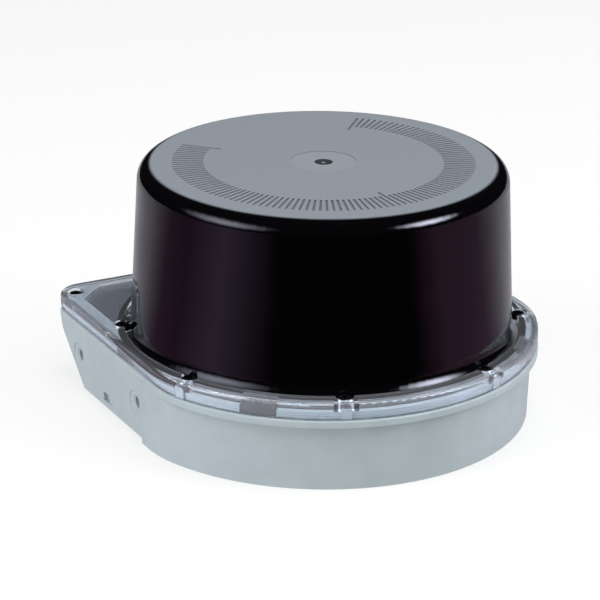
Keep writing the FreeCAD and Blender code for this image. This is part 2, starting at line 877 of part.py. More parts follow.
def dome_gasket():
    """Flat seal on the collar, under the dome's flange and ears and the lip of the clear cover."""
    parts = [ring(gasket_outer, gasket_inner, collar_top, flange_low)]
    holes = []
    for angle in screw_angles:
        place = polar(screw_circle, angle)
        parts.append(drum(ear_radius, collar_top, flange_low, (place.x, place.y)))
        holes.append(drum(screw_shank_radius + screw_gap, collar_top - 1.0, flange_low + 1.0, (place.x, place.y)))
    lights = led_recess(flange_low + 1.0)
    return joined(parts).cut(holes + [lights, mirrored(lights)])


def cap_screw(head_radius, head, shank_radius, length, seat, centre):
    """A headed screw that stands on a seat, pointing down, with a hexagon socket."""
    body = drum(head_radius, seat, seat + head, centre).fuse(drum(shank_radius, seat - length, seat, centre))
    across_flats = head_radius * 0.9
    return body.cut(hexagon(across_flats, seat + head * 0.45, seat + head + 1.0, centre)).removeSplitter()


def dome_screws():
    screws = []
    for angle in screw_angles:
        place = polar(screw_circle, angle)
        screws.append(cap_screw(screw_head_radius, screw_head, screw_shank_radius, screw_length,
                                flange_top, (place.x, place.y)))
    return Part.makeCompound(screws)


def corner_screws():
    screws = []
    for x in (-corner_x, corner_x):
        screws.append(cap_screw(screw_head_radius, screw_head, screw_shank_radius, screw_length,
                                collar_top + corner_seat, (x, corner_y)))
    return Part.makeCompound(screws)


# Connectors

def connector_shell():
    """A round connector on +Z, with the wall's outer face at zero."""
    top = seal_thickness + connector_flange
    inside = connector_bore_radius
    return turned([
        (inside, -connector_body_depth), (connector_body_radius, -connector_body_depth),
        (connector_body_radius, seal_thickness), (connector_flange_radius, seal_thickness),
        (connector_flange_radius, top), (connector_relief_radius, top),
        (connector_relief_radius, top + connector_relief), (connector_thread_radius, top + connector_relief),
        (connector_thread_radius, connector_reach), (inside, connector_reach),
    ])


def contact_places(count):
    """Pin places: a circle of pins, and one in the middle for more than four."""
    around = count if count == 4 else count - 1
    places = []
    for step in range(around):
        angle = 2.0 * math.pi * step / around
        places.append((pin_circle * math.cos(angle), pin_circle * math.sin(angle)))
    if around < count:
        places.append((0.0, 0.0))
    return places


def contact_carrier(count, high):
    """The moulded insert that holds the pins of one connector."""
    body = drum(connector_bore_radius - carrier_gap, -connector_body_depth, high)
    holes = [drum(pin_radius + pin_hole_gap, -connector_body_depth - 1.0, high + 1.0, place)
             for place in contact_places(count)]
    return body.cut(holes)


def connector_layout():
    """Pins, height of the insert and height of the pins, for each connector."""
    flange_face = seal_thickness + connector_flange
    return {
        "power": (-connector_pitch, 5, flange_face, pin_reach),
        "data": (0.0, 4, connector_reach - 0.8, flange_face),
        "io": (connector_pitch, 8, flange_face, pin_reach),
    }


def connector_nuts():
    nut = hexagon(nut_across_flats, -wall - nut_thickness, -wall)
    nut = nut.cut(drum(connector_body_radius + nut_gap, -wall - nut_thickness - 1.0, 0.0))
    return Part.makeCompound([onto_slant(nut, x) for x in connector_places()])


def connector_seals():
    seal = ring(connector_body_radius + nut_gap + seal_width, connector_body_radius + nut_gap,
                0.0, seal_thickness)
    return Part.makeCompound([onto_slant(seal, x) for x in connector_places()])


def contact_carriers():
    pieces = []
    for x, count, high, reach in connector_layout().values():
        pieces.append(onto_slant(contact_carrier(count, high), x))
    return Part.makeCompound(pieces)


def wire_board_face():
    return -connector_body_depth - wire_board_gap


def contact_pins():
    pieces = []
    for x, count, high, reach in connector_layout().values():
        for place in contact_places(count):
            pieces.append(onto_slant(drum(pin_radius, wire_board_face(), reach, place), x))
    return Part.makeCompound(pieces)


def connector_board():
    half = wire_board_length / 2.0
    plank = block((-half, half), (-wire_board_height / 2.0, wire_board_height / 2.0),
                  (wire_board_face() - board, wire_board_face()))
    return onto_slant(plank, 0.0)


# Inside the base

def main_board():
    body = drum(board_radius, board_height, board_height + board)
    reach = board_radius + 10.0
    body = body.common(block((-reach, reach), (-reach, board_rear), (0.0, base_height)))
    cutters = [drum(board_opening, board_height - 1.0, board_height + board + 1.0)]
    for angle in board_pad_angles:
        place = polar(board_pad_circle, angle)
        cutters.append(drum(board_screw_radius + 0.2, board_height - 1.0, board_height + board + 1.0,
                            (place.x, place.y)))
    return body.cut(cutters)


def board_parts():
    """Processor, coils, capacitors and wire headers on the main board."""
    low = board_height + board
    pieces = [
        block((-8.0, 8.0), (17.0 - board_radius, 33.0 - board_radius), (low, low + 2.2)),
        block((14.0, 24.0), (24.0 - board_radius, 34.0 - board_radius), (low, low + 1.4)),
        block((-26.0, -16.0), (-12.0, -2.0), (low, low + 5.0)),
        block((-26.0, -16.0), (2.0, 12.0), (low, low + 5.0)),
        block((18.0, 26.0), (-8.0, 8.0), (low, low + 3.0)),
        block((-12.0, 12.0), (board_rear - 9.9, board_rear - 4.4), (low, low + 6.0)),
    ]
    for y in (-5.0, 5.0):
        pieces.append(drum(3.2, low, low + 9.0, (board_radius - 17.0, y)))
        pieces.append(drum(3.2, low, low + 9.0, (15.0 - board_radius, y)))
    return Part.makeCompound(pieces)


def board_screws():
    screws = []
    for angle in board_pad_angles:
        place = polar(board_pad_circle, angle)
        body = drum(board_head_radius, board_height + board, board_height + board + board_head,
                    (place.x, place.y))
        body = body.fuse(drum(board_screw_radius, board_height + board - board_screw_length,
                              board_height + board, (place.x, place.y)))
        screws.append(body.removeSplitter())
    return Part.makeCompound(screws)


def chassis_plate():
    body = drum(collar_opening - plate_gap, plate_low, plate_top)
    cutters = [drum(tube_radius + tube_plate_gap, plate_low - 1.0, plate_top + 1.0)]
    for angle in column_angles:
        place = polar(column_circle, angle)
        cutters.append(drum(column_screw_radius + 0.2, plate_low - 1.0, plate_top + 1.0, (place.x, place.y)))
    for angle in bridge_screw_angles:
        place = polar(bridge_screw_circle, angle)
        cutters.append(drum(bridge_screw_radius + screw_gap, plate_low - 1.0, plate_top + 1.0,
                            (place.x, place.y)))
    for k in range(tube_screw_count):
        place = polar(tube_screw_circle, 45.0 + 360.0 * k / tube_screw_count)
        cutters.append(drum(tube_screw_radius + screw_gap, plate_low - 1.0, plate_top + 1.0,
                            (place.x, place.y)))
    # windows that lighten the plate and pass the wires
    window_outer = column_circle - window_margin
    for middle, half in ((-window_middle, window_half_span), (0.0, front_window_half_span),
                         (window_middle, window_half_span)):
        cutters.append(sector(window_inner, window_outer, middle - half, middle + half,
                              plate_low - 1.0, plate_top + 1.0))
    return body.cut(cutters)


def plate_screws():
    screws = []
    for angle in column_angles:
        place = polar(column_circle, angle)
        screws.append(cap_screw(column_head_radius, column_head, column_screw_radius, column_screw_length,
                                plate_top, (place.x, place.y)))
    return Part.makeCompound(screws)


# Bearings, shaft and motor

tube_top = plate_top + tube_rise
tube_bore = bearing_radius + bearing_seat_gap
hub_low = tube_top + hub_lift
hub_top = hub_low + hub_disc
stator_low = plate_top + stator_lift
stator_top = stator_low + stator_height
magnet_inner = stator_radius + air_gap
magnet_outer = magnet_inner + magnet
hub_skirt_inner = magnet_outer + fit_gap
mirror_space = (overall_height - dome_wall - head_room - board - barrel_rise - barrel_flange - arm - arm_gap
                - mirror_lift - hub_top)
mirror_radius = mirror_space / 2.0
carrier_radius = mirror_radius + carrier_margin
lens_radius = mirror_radius + lens_margin
barrel_radius = lens_radius + barrel_wall
barrel_flange_radius = barrel_radius + barrel_flange_width
barrel_neck_radius = barrel_radius + barrel_neck_margin
arm_ring_radius = barrel_radius + arm_ring_margin


def bearing_tube():
    shoulder = bearing_radius - 1.0
    low_seat = tube_low + bearing_setback + bearing_width
    high_seat = tube_top - bearing_setback - bearing_width
    body = turned([
        (tube_bore, tube_low), (tube_radius, tube_low), (tube_radius, plate_top),
        (tube_flange_radius, plate_top), (tube_flange_radius, plate_top + tube_flange),
        (tube_radius, plate_top + tube_flange), (tube_radius, tube_top), (tube_bore, tube_top),
        (tube_bore, high_seat), (shoulder, high_seat), (shoulder, low_seat), (tube_bore, low_seat),
    ])
    cutters = []
    for k in range(tube_screw_count):
        place = polar(tube_screw_circle, 45.0 + 360.0 * k / tube_screw_count)
        cutters.append(drum(tube_screw_radius + 0.1, plate_top - 1.0, plate_top + tube_flange + 1.0,
                            (place.x, place.y)))
        cutters.append(Part.makeCone(tube_screw_radius + 0.1, tube_screw_head_radius + 0.1,
                                     tube_screw_head_radius - tube_screw_radius,
                                     point(place.x, place.y, plate_top + tube_flange
                                           - (tube_screw_head_radius - tube_screw_radius))))
    return body.cut(cutters)


def tube_screws():
    sink = tube_screw_head_radius - tube_screw_radius
    top = plate_top + tube_flange
    screws = []
    for k in range(tube_screw_count):
        place = polar(tube_screw_circle, 45.0 + 360.0 * k / tube_screw_count)
        head = Part.makeCone(tube_screw_radius, tube_screw_head_radius, sink, point(place.x, place.y, top - sink))
        shank = drum(tube_screw_radius, plate_low, top - sink, (place.x, place.y))
        screws.append(head.fuse(shank).removeSplitter())
    return Part.makeCompound(screws)


def bearing(low):
    """A sealed bearing, its side shields set back a little."""
    inner = shaft_radius + running_gap
    high = low + bearing_width
    shield_in = inner + 0.8
    shield_out = bearing_radius - 0.8
    set_back = 0.25
    return turned([
        (inner, low), (shield_in, low), (shield_in, low + set_back), (shield_out, low + set_back),
        (shield_out, low), (bearing_radius, low), (bearing_radius, high), (shield_out, high),
        (shield_out, high - set_back), (shield_in, high - set_back), (shield_in, high), (inner, high),
    ])


def lower_bearing():
    return bearing(tube_low + bearing_setback)


def upper_bearing():
    return bearing(tube_top - bearing_setback - bearing_width)


def rotor_shaft():
    groove = tube_low + bearing_setback - axial_gap
    high = hub_low + hub_boss
    waist = shaft_radius - 0.4
    return turned([
        (0.0, shaft_low), (shaft_radius, shaft_low), (shaft_radius, groove - clip), (waist, groove - clip),
        (waist, groove), (shaft_radius, groove), (shaft_radius, high), (0.0, high),
    ])


def shaft_clip():
    high = tube_low + bearing_setback - axial_gap
    body = ring(clip_radius, shaft_radius - 0.4 + fit_gap, high - clip, high)
    return body.cut(block((-1.2, 1.2), (-clip_radius - 1.0, 0.0), (high - clip - 1.0, high + 1.0)))


def stator_core():
    body = ring(stator_core_radius, tube_radius + fit_gap, stator_low, stator_top)
    teeth = [body]
    shoe = drum(stator_radius, stator_low, stator_top).cut(
        drum(stator_radius - tooth_tip, stator_low - 1.0, stator_top + 1.0))
    for k in range(tooth_count):
        angle = 360.0 * k / tooth_count
        tooth = block((tube_radius + 2.0, stator_radius - tooth_tip / 2.0),
                      (-tooth_width / 2.0, tooth_width / 2.0), (stator_low, stator_top))
        tip = shoe.common(block((0.0, stator_radius + 1.0), (-tooth_tip_width / 2.0, tooth_tip_width / 2.0),
                                (stator_low, stator_top)))
        teeth.append(turn_about_axis(tooth, angle))
        teeth.append(turn_about_axis(tip, angle))
    return joined(teeth)


def stator_coils():
    """One winding round each tooth."""
    coils = []
    half = tooth_width / 2.0 + fit_gap
    for k in range(tooth_count):
        coil_body = block((coil_inner, coil_outer), (-half - coil, half + coil),
                          (stator_low - coil, stator_top + coil))
        core = block((coil_inner - 1.0, coil_outer + 1.0), (-half, half),
                     (stator_low - fit_gap, stator_top + fit_gap))
        coils.append(turn_about_axis(coil_body.cut(core), 360.0 * k / tooth_count))
    return Part.makeCompound(coils)


def rotor_hub():
    skirt_low = plate_top + hub_skirt_gap
    skirt_outer = hub_skirt_inner + hub_skirt
    bore = shaft_radius + fit_gap / 2.0
    return turned([
        (bore, hub_low), (hub_skirt_inner, hub_low), (hub_skirt_inner, skirt_low), (skirt_outer, skirt_low),
        (skirt_outer, hub_low), (hub_disc_radius, hub_low), (hub_disc_radius, hub_top),
        (hub_boss_radius, hub_top), (hub_boss_radius, hub_low + hub_boss), (bore, hub_low + hub_boss),
    ])


def magnet_ring():
    middle = (stator_low + stator_top) / 2.0
    return ring(magnet_outer, magnet_inner, middle - magnet_height / 2.0, middle + magnet_height / 2.0)


# Encoder, mirror and balance weight

def encoder_disc():
    low = hub_low - encoder_disc_thickness
    body = ring(encoder_outer, encoder_inner, low, hub_low)
    slots = []
    for k in range(encoder_slot_count):
        slot = block((encoder_slot_inner, encoder_slot_outer),
                     (-encoder_slot_width / 2.0, encoder_slot_width / 2.0), (low - 1.0, hub_low + 1.0))
        slots.append(turn_about_axis(slot, 360.0 * k / encoder_slot_count))
    return body.cut(slots)


def mirror_height():
    """Where the mirror's face crosses the scan axis: the scan plane."""
    return hub_top + mirror_lift + mirror_radius


def mirror_half_space(drop):
    """Everything above the 45 degree mirror face, moved down by a distance."""
    reach = 3.0 * carrier_radius
    middle = mirror_height() - drop
    return across([(-reach, middle - reach), (reach, middle + reach), (-reach, middle + reach)], reach)


def mirror_carrier():
    top = mirror_height() + carrier_radius
    body = drum(carrier_radius, hub_top, top)
    body = body.cut(mirror_half_space(mirror / math.cos(math.radians(45))))
    seat = drum(hub_boss_radius + fit_gap, hub_top - 1.0, hub_low + hub_boss + fit_gap)
    return body.cut(seat)


def scan_mirror():
    top = mirror_height() + carrier_radius
    body = drum(mirror_radius, hub_top, top)
    above = mirror_half_space(0.0)
    below = mirror_half_space(mirror / math.cos(math.radians(45)))
    return body.common(below).cut(above)


def balance_weight():
    return sector(weight_inner, weight_outer, -weight_half_span, weight_half_span, hub_top, hub_top + weight)


def encoder_reader():
    """A fork that reads the slotted disc, standing on the chassis plate."""
    half = reader_half_width
    disc_low = hub_low - encoder_disc_thickness
    top = hub_top + reader_gap + reader_jaw
    body = block((reader_inner, reader_outer), (-half, half), (plate_top, top))
    slot = block((reader_inner - 1.0, reader_slot_end), (-half - 1.0, half + 1.0),
                 (disc_low - reader_gap, hub_top + reader_gap))
    return body.cut(slot)


# Bridge and optics over the mirror

def highest_turning():
    carrier_top = mirror_height() + carrier_radius - mirror / math.cos(math.radians(45))
    return max(carrier_top, mirror_height() + mirror_radius)


def arm_low():
    return highest_turning() + arm_gap


def optics_bridge():
    low = arm_low()
    high = low + arm
    column = sector(bridge_inner, bridge_outer, bridge_angle - bridge_half_span,
                    bridge_angle + bridge_half_span, plate_top, high)
    foot = sector(bridge_foot_inner, bridge_outer, bridge_angle - bridge_foot_half_span,
                  bridge_angle + bridge_foot_half_span, plate_top, plate_top + bridge_foot)
    beam = block((-arm_half_width, arm_half_width), (0.0, bridge_inner + 2.0), (low, high))
    head = drum(arm_ring_radius, low, high)
    ribs = []
    for side in (-1.0, 1.0):
        middle = side * (arm_half_width - rib)
        profile = [(bridge_inner + 2.0, low - rib_depth), (bridge_inner + 2.0, low + 0.5),
                   (arm_ring_radius, low + 0.5), (arm_ring_radius, low)]
        plate_shape = across(profile, rib / 2.0)
        plate_shape.translate(point(middle, 0, 0))
        ribs.append(plate_shape)
    body = joined([column, foot, beam, head] + ribs)
    cutters = [drum(barrel_radius + barrel_gap, low - 1.0, high + 1.0)]
    for angle in bridge_screw_angles:
        place = polar(bridge_screw_circle, angle)
        cutters.append(drum(bridge_screw_radius + 0.2, plate_top - 1.0, plate_top + bridge_foot + 1.0,
                            (place.x, place.y)))
    return body.cut(cutters).removeSplitter()


def bridge_screws():
    seat = plate_top + bridge_foot
    screws = []
    for angle in bridge_screw_angles:
        place = polar(bridge_screw_circle, angle)
        body = drum(bridge_head_radius, seat, seat + bridge_head, (place.x, place.y))
        body = body.fuse(drum(bridge_screw_radius, plate_low, seat, (place.x, place.y)))
        screws.append(body.removeSplitter())
    return Part.makeCompound(screws)


def barrel_seat():
    """The height of the arm's top face."""
    return arm_low() + arm


def lens_stop():
    """The height of the lip that the lens rests against."""
    return barrel_seat() + 0.6


def barrel_top():
    return barrel_seat() + barrel_flange + barrel_rise


def lens_barrel():
    seat = barrel_seat()
    bore = lens_radius + lens_gap
    lip = lens_radius - lens_lip
    return turned([
        (bore, arm_low()), (barrel_radius, arm_low()), (barrel_radius, seat), (barrel_flange_radius, seat),
        (barrel_flange_radius, seat + barrel_flange), (barrel_neck_radius, seat + barrel_flange),
        (barrel_neck_radius, barrel_top()), (lens_radius + 0.6, barrel_top()),
        (lens_radius + 0.6, lens_stop() + lens_lip), (lip, lens_stop() + lens_lip), (lip, lens_stop()),
        (bore, lens_stop()),
    ])


def lens_height(radius):
    """Height of a lens face above its flat rim, as a shallow dome."""
    return lens_bulge * (1.0 - (radius / lens_face_radius()) ** 2)


def lens_face_radius():
    return lens_radius - lens_lip - 0.2


def receiver_lens():
    high = lens_stop()
    low = high - lens_edge
    hole = lens_hole_radius
    face = lens_face_radius()
    middle = (hole + face) / 2.0

    def on_top(radius):
        return point(radius, 0, high + lens_height(radius))

    def on_bottom(radius):
        return point(radius, 0, low - lens_height(radius))

    edges = [
        Part.Arc(on_top(hole), on_top(middle), on_top(face)).toShape(),
        Part.LineSegment(on_top(face), point(lens_radius, 0, high)).toShape(),
        Part.LineSegment(point(lens_radius, 0, high), point(lens_radius, 0, low)).toShape(),
        Part.LineSegment(point(lens_radius, 0, low), on_bottom(face)).toShape(),
        Part.Arc(on_bottom(face), on_bottom(middle), on_bottom(hole)).toShape(),
        Part.LineSegment(on_bottom(hole), on_top(hole)).toShape(),
    ]
    return Part.Face(Part.Wire(edges)).revolve(point(0, 0, 0), point(0, 0, 1), 360)


def laser_module():
    """A small collimated laser in the middle of the lens."""
    radius = lens_hole_radius - laser_gap
    low = lens_stop() - lens_edge - lens_bulge - 0.6
    high = barrel_top() - chip_height - laser_room
    return turned([
        (0.0, low + 0.8), (laser_cap_radius, low + 0.8), (laser_cap_radius, low), (radius, low),
        (radius, high - 1.2), (laser_cap_radius, high - 1.2), (laser_cap_radius, high), (0.0, high),
    ])


def receiver_board():
    return drum(barrel_neck_radius, barrel_top(), barrel_top() + board)


def detector_chip():
    half = chip_width / 2.0
    return block((-half, half), (-half, half), (barrel_top() - chip_height, barrel_top()))


sub_parts = {
    "base_housing": base_housing,
    "clear_cover": clear_cover,
    "rim_gasket": rim_gasket,
    "corner_liner": corner_liner,
    "status_led_boards": status_led_boards,
    "status_leds": status_leds,
    "optics_dome": optics_dome,
    "dome_gasket": dome_gasket,
    "dome_screws": dome_screws,
    "corner_screws": corner_screws,
    "power_connector": lambda: onto_slant(connector_shell(), connector_layout()["power"][0]),
    "data_connector": lambda: onto_slant(connector_shell(), connector_layout()["data"][0]),
    "io_connector": lambda: onto_slant(connector_shell(), connector_layout()["io"][0]),
    "connector_nuts": connector_nuts,
    "connector_seals": connector_seals,
    "contact_carriers": contact_carriers,
    "contact_pins": contact_pins,
    "connector_board": connector_board,
    "main_board": main_board,
    "board_parts": board_parts,
    "board_screws": board_screws,
    "chassis_plate": chassis_plate,
    "plate_screws": plate_screws,
    "bearing_tube": bearing_tube,
    "tube_screws": tube_screws,
    "lower_bearing": lower_bearing,
    "upper_bearing": upper_bearing,
    "rotor_shaft": rotor_shaft,
    "shaft_clip": shaft_clip,
    "stator_core": stator_core,
    "stator_coils": stator_coils,
    "rotor_hub": rotor_hub,
    "magnet_ring": magnet_ring,
    "encoder_disc": encoder_disc,
    "mirror_carrier": mirror_carrier,
    "scan_mirror": scan_mirror,
    "balance_weight": balance_weight,
    "encoder_reader": encoder_reader,
    "optics_bridge": optics_bridge,
    "bridge_screws": bridge_screws,
    "lens_barrel": lens_barrel,
    "receiver_lens": receiver_lens,
    "laser_module": laser_module,
    "receiver_board": receiver_board,
    "detector_chip": detector_chip,
}


def main():
    os.makedirs("parts", exist_ok=True)
    for name, make in sub_parts.items():
        shape = make()
        shape.exportStep("parts/" + name + ".step")
        print(name, len(shape.Solids), "solid(s)", round(shape.Volume, 1), "mm3", shape.isValid())


main()
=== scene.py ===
import math
import bmesh
import bpy
from mathutils import Matrix, Vector


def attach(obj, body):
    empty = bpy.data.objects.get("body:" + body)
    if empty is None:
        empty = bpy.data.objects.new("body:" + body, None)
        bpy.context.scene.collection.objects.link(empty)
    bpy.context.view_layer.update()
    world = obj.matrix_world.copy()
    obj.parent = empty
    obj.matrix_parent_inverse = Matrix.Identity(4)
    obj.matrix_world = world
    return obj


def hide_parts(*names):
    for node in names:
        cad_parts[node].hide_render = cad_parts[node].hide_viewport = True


# Lidar sensor: finishes, screw sockets and connector threads over the CAD frame, and the photo's studio

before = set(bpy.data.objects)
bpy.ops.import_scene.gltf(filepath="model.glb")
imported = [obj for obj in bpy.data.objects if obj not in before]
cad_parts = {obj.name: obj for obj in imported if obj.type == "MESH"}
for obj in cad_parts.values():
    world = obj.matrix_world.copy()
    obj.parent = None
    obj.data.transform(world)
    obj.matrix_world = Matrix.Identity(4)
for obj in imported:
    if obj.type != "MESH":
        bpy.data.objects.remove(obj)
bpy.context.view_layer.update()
mm = 0.001
print("frame loaded:", len(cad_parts), "nodes")


def linearColour(hexCode):
    parts = [int(hexCode[i:i + 2], 16) / 255 for i in (1, 3, 5)]
    return [p / 12.92 if p <= 0.04045 else ((p + 0.055) / 1.055) ** 2.4 for p in parts] + [1.0]


def addNode(tree, kind, sockets=None, **settings):
    node = tree.nodes.new(kind)
    for name, value in settings.items():
        setattr(node, name, value)
    for name, value in (sockets or {}).items():
        if isinstance(value, bpy.types.NodeSocket):
            tree.links.new(value, node.inputs[name])
        else:
            node.inputs[name].default_value = value
    return node


def newFinish(name, hexCode, roughness, metallic=0.0, **sockets):
    material = bpy.data.materials.new(name)
    material.use_nodes = True
    tree = material.node_tree
    shader = tree.nodes["Principled BSDF"]
    shader.inputs["Base Color"].default_value = linearColour(hexCode)
    shader.inputs["Roughness"].default_value = roughness
    shader.inputs["Metallic"].default_value = metallic
    for key, value in sockets.items():
        shader.inputs[key.replace("_", " ")].default_value = value
    return material, tree, shader


def addPatches(tree, sizeMm, detail, stretch=(1, 1, 1)):
    # patches of sizeMm that stay with the piece; the other patterns start from them
    place = addNode(tree, "ShaderNodeTexCoord")
    scaled = addNode(tree, "ShaderNodeMapping", {"Vector": place.outputs["Object"], "Scale": stretch})
    noise = addNode(tree, "ShaderNodeTexNoise", {
        "Vector": scaled.outputs["Vector"], "Scale": 1 / (sizeMm * mm), "Detail": detail})
    return noise.outputs["Fac"]


def addGrain(tree, shader, grainMm, depthMm, stretch=(1, 1, 1)):
    # fine relief of a moulded, cast or coated surface, grainMm across
    grain = addPatches(tree, grainMm, detail=3.0, stretch=stretch)
    bump = addNode(tree, "ShaderNodeBump", {"Height": grain, "Distance": depthMm * mm})
    tree.links.new(bump.outputs["Normal"], shader.inputs["Normal"])


def addMottle(tree, shader, hexLow, hexHigh, sizeMm, lowAt=0.35, highAt=0.65):
    # slight change of colour over the surface, in patches of sizeMm
    patches = addPatches(tree, sizeMm, detail=4.0)
    ramp = addNode(tree, "ShaderNodeValToRGB", {"Fac": patches})
    for stop, position, hexCode in zip(ramp.color_ramp.elements, (lowAt, highAt), (hexLow, hexHigh)):
        stop.position = position
        stop.color = linearColour(hexCode)
    tree.links.new(ramp.outputs["Color"], shader.inputs["Base Color"])


def addRoughnessRange(tree, shader, low, high, sizeMm):
    # handling and moulding leave the gloss a little uneven
    patches = addPatches(tree, sizeMm, detail=3.0)
    spread = addNode(tree, "ShaderNodeMapRange", {
        "Value": patches, "From Min": 0.3, "From Max": 0.7, "To Min": low, "To Max": high})
    tree.links.new(spread.outputs["Result"], shader.inputs["Roughness"])


def addLines(tree, shader, spacingMm, depthMm, distortion):
    # level lines round a stack or a winding; a wave's scale counts twenty radians to the unit
    place = addNode(tree, "ShaderNodeTexCoord")
    wave = addNode(tree, "ShaderNodeTexWave", {
        "Vector": place.outputs["Object"], "Scale": 2 * math.pi / (spacingMm * mm) / 20,
        "Distortion": distortion}, wave_type="BANDS", bands_direction="Z")
    bump = addNode(tree, "ShaderNodeBump", {"Height": wave.outputs["Fac"], "Distance": depthMm * mm})
    tree.links.new(bump.outputs["Normal"], shader.inputs["Normal"])


# Finishes, each named for what the real surface is

castingPaint = {"low": "#A4B0B5", "high": "#A9B5BA", "grainMm": 0.7, "depthMm": 0.012}


def powderCoatedAluminium():
    # light grey powder coat on a die casting: even satin with a faint orange peel
    material, tree, shader = newFinish("powderCoatedAluminium", castingPaint["low"], roughness=0.45, IOR=1.5)
    addMottle(tree, shader, castingPaint["low"], castingPaint["high"], sizeMm=9.0)
    addGrain(tree, shader, castingPaint["grainMm"], castingPaint["depthMm"])
    addRoughnessRange(tree, shader, low=0.40, high=0.50, sizeMm=5.0)
    return material


def clearPolycarbonate():
    # injection-moulded polycarbonate: clear with a slight milky veil, and bright edges where it bends light
    material, tree, shader = newFinish("clearPolycarbonate", "#E6EBF3", roughness=0.1, IOR=1.585)
    shader.inputs["Transmission Weight"].default_value = 0.925
    addRoughnessRange(tree, shader, low=0.07, high=0.12, sizeMm=3.0)
    return material


# lengths in mm: the satin fades out between two radii, and the engraving lies inside scaleRadius
# colours: the top's greys and the lighter middle disc are painted sheen; the groove and dimple greys are
# painted shade
domeFinish = {
    "side": "#030203", "top": "#81888F", "topSheenDark": "#787E85", "middle": "#8A9096", "grooveShade": "#666C73",
    "dimpleShade": "#2B2E32", "sideRoughness": 0.09, "topRoughness": 0.8, "grainMm": 0.25, "grainDepth": 0.01,
    "topHeight": 92.5, "satinDepth": 1.6, "landDepth": 0.1, "satinFrom": 60.9, "satinTo": 62.4,
    "scaleRadius": 59.7, "gateRadius": 11.95, "dimpleRadius": 3.3, "stubRadius": 0.7,
}


def infraredPolycarbonate():
    # near-black polycarbonate that passes infrared: mirror gloss on the sides, spark-eroded satin on the top.
    # The satin top's grey colour is painted sheen: the studio light it scatters is drawn into its base
    # colour.
    material, tree, shader = newFinish("infraredPolycarbonate", domeFinish["side"],
                                       roughness=domeFinish["sideRoughness"], IOR=1.585)
    place = addNode(tree, "ShaderNodeTexCoord")
    parts = addNode(tree, "ShaderNodeSeparateXYZ", {"Vector": place.outputs["Object"]})
    flat = addNode(tree, "ShaderNodeCombineXYZ", {"X": parts.outputs["X"], "Y": parts.outputs["Y"]})
    radius = addNode(tree, "ShaderNodeVectorMath", {0: flat.outputs["Vector"]}, operation="LENGTH")
    inside = {}
    for name in ("scaleRadius", "gateRadius", "dimpleRadius", "stubRadius"):
        within = addNode(tree, "ShaderNodeMath", {
            0: radius.outputs["Value"], 1: domeFinish[name] * mm}, operation="LESS_THAN")
        inside[name] = within.outputs["Value"]

    # the satin zone, and with it the painted grey sheen, ends softly on the shoulder
    nearTop = addNode(tree, "ShaderNodeMath", {
        0: parts.outputs["Z"], 1: (domeFinish["topHeight"] - domeFinish["satinDepth"]) * mm},
        operation="GREATER_THAN")
    inZone = addNode(tree, "ShaderNodeMapRange", {
        "Value": radius.outputs["Value"], "From Min": domeFinish["satinFrom"] * mm,
        "From Max": domeFinish["satinTo"] * mm, "To Min": 1.0, "To Max": 0.0},
        interpolation_type="SMOOTHSTEP")
    satinAndSheen = addNode(tree, "ShaderNodeMath", {
        0: nearTop.outputs["Value"], 1: inZone.outputs["Result"]}, operation="MULTIPLY")

    # painted shade: the engraved scale and the gate's dimple are drawn darker than the land round them, as
    # the shade that lies in these recesses
    belowLand = addNode(tree, "ShaderNodeMath", {
        0: parts.outputs["Z"], 1: (domeFinish["topHeight"] - domeFinish["landDepth"]) * mm},
        operation="LESS_THAN")
    sunk = addNode(tree, "ShaderNodeMath", {
        0: belowLand.outputs["Value"], 1: inside["scaleRadius"]}, operation="MULTIPLY")
    shadedEngraving = addNode(tree, "ShaderNodeMath", {
        0: sunk.outputs["Value"], 1: inside["gateRadius"]}, operation="SUBTRACT", use_clamp=True)
    dimpleShade = addNode(tree, "ShaderNodeMath", {
        0: inside["dimpleRadius"], 1: inside["stubRadius"]}, operation="SUBTRACT", use_clamp=True)
    speckle = addNode(tree, "ShaderNodeTexNoise", {
        "Vector": place.outputs["Object"], "Scale": 1 / (domeFinish["grainMm"] * mm), "Detail": 2.0})

    # each tone is laid over the ones before it: the top's painted sheen, the middle disc drawn lighter as
    # painted sheen, a random darker speckle, then the painted shade of the scale and the dimple
    tone = linearColour(domeFinish["top"])
    for share, name in ((inside["gateRadius"], "middle"), (speckle.outputs["Fac"], "topSheenDark"),
                        (shadedEngraving.outputs["Value"], "grooveShade"), (dimpleShade.outputs["Value"], "dimpleShade")):
        layer = addNode(tree, "ShaderNodeMix", {
            0: share, 6: tone, 7: linearColour(domeFinish[name])}, data_type="RGBA")
        tone = layer.outputs[2]
    whole = addNode(tree, "ShaderNodeMix", {
        0: satinAndSheen.outputs["Value"], 6: linearColour(domeFinish["side"]), 7: tone}, data_type="RGBA")
    tree.links.new(whole.outputs[2], shader.inputs["Base Color"])
    gloss = addNode(tree, "ShaderNodeMapRange", {
        "Value": satinAndSheen.outputs["Value"], "To Min": domeFinish["sideRoughness"],
        "To Max": domeFinish["topRoughness"]})
    tree.links.new(gloss.outputs["Result"], shader.inputs["Roughness"])
    relief = addNode(tree, "ShaderNodeMath", {
        0: speckle.outputs["Fac"], 1: satinAndSheen.outputs["Value"]}, operation="MULTIPLY")
    bump = addNode(tree, "ShaderNodeBump", {
        "Height": relief.outputs["Value"], "Distance": domeFinish["grainDepth"] * mm})
    tree.links.new(bump.outputs["Normal"], shader.inputs["Normal"])
    return material


def stainlessSteel():
    # cold-headed stainless screws: bright, with fine drawing marks
    material, tree, shader = newFinish("stainlessSteel", "#B9BABC", roughness=0.32, metallic=1.0)
    addMottle(tree, shader, "#B0B1B3", "#C2C3C5", sizeMm=1.5)
    addGrain(tree, shader, grainMm=0.12, depthMm=0.003, stretch=(1, 1, 4))
    return material


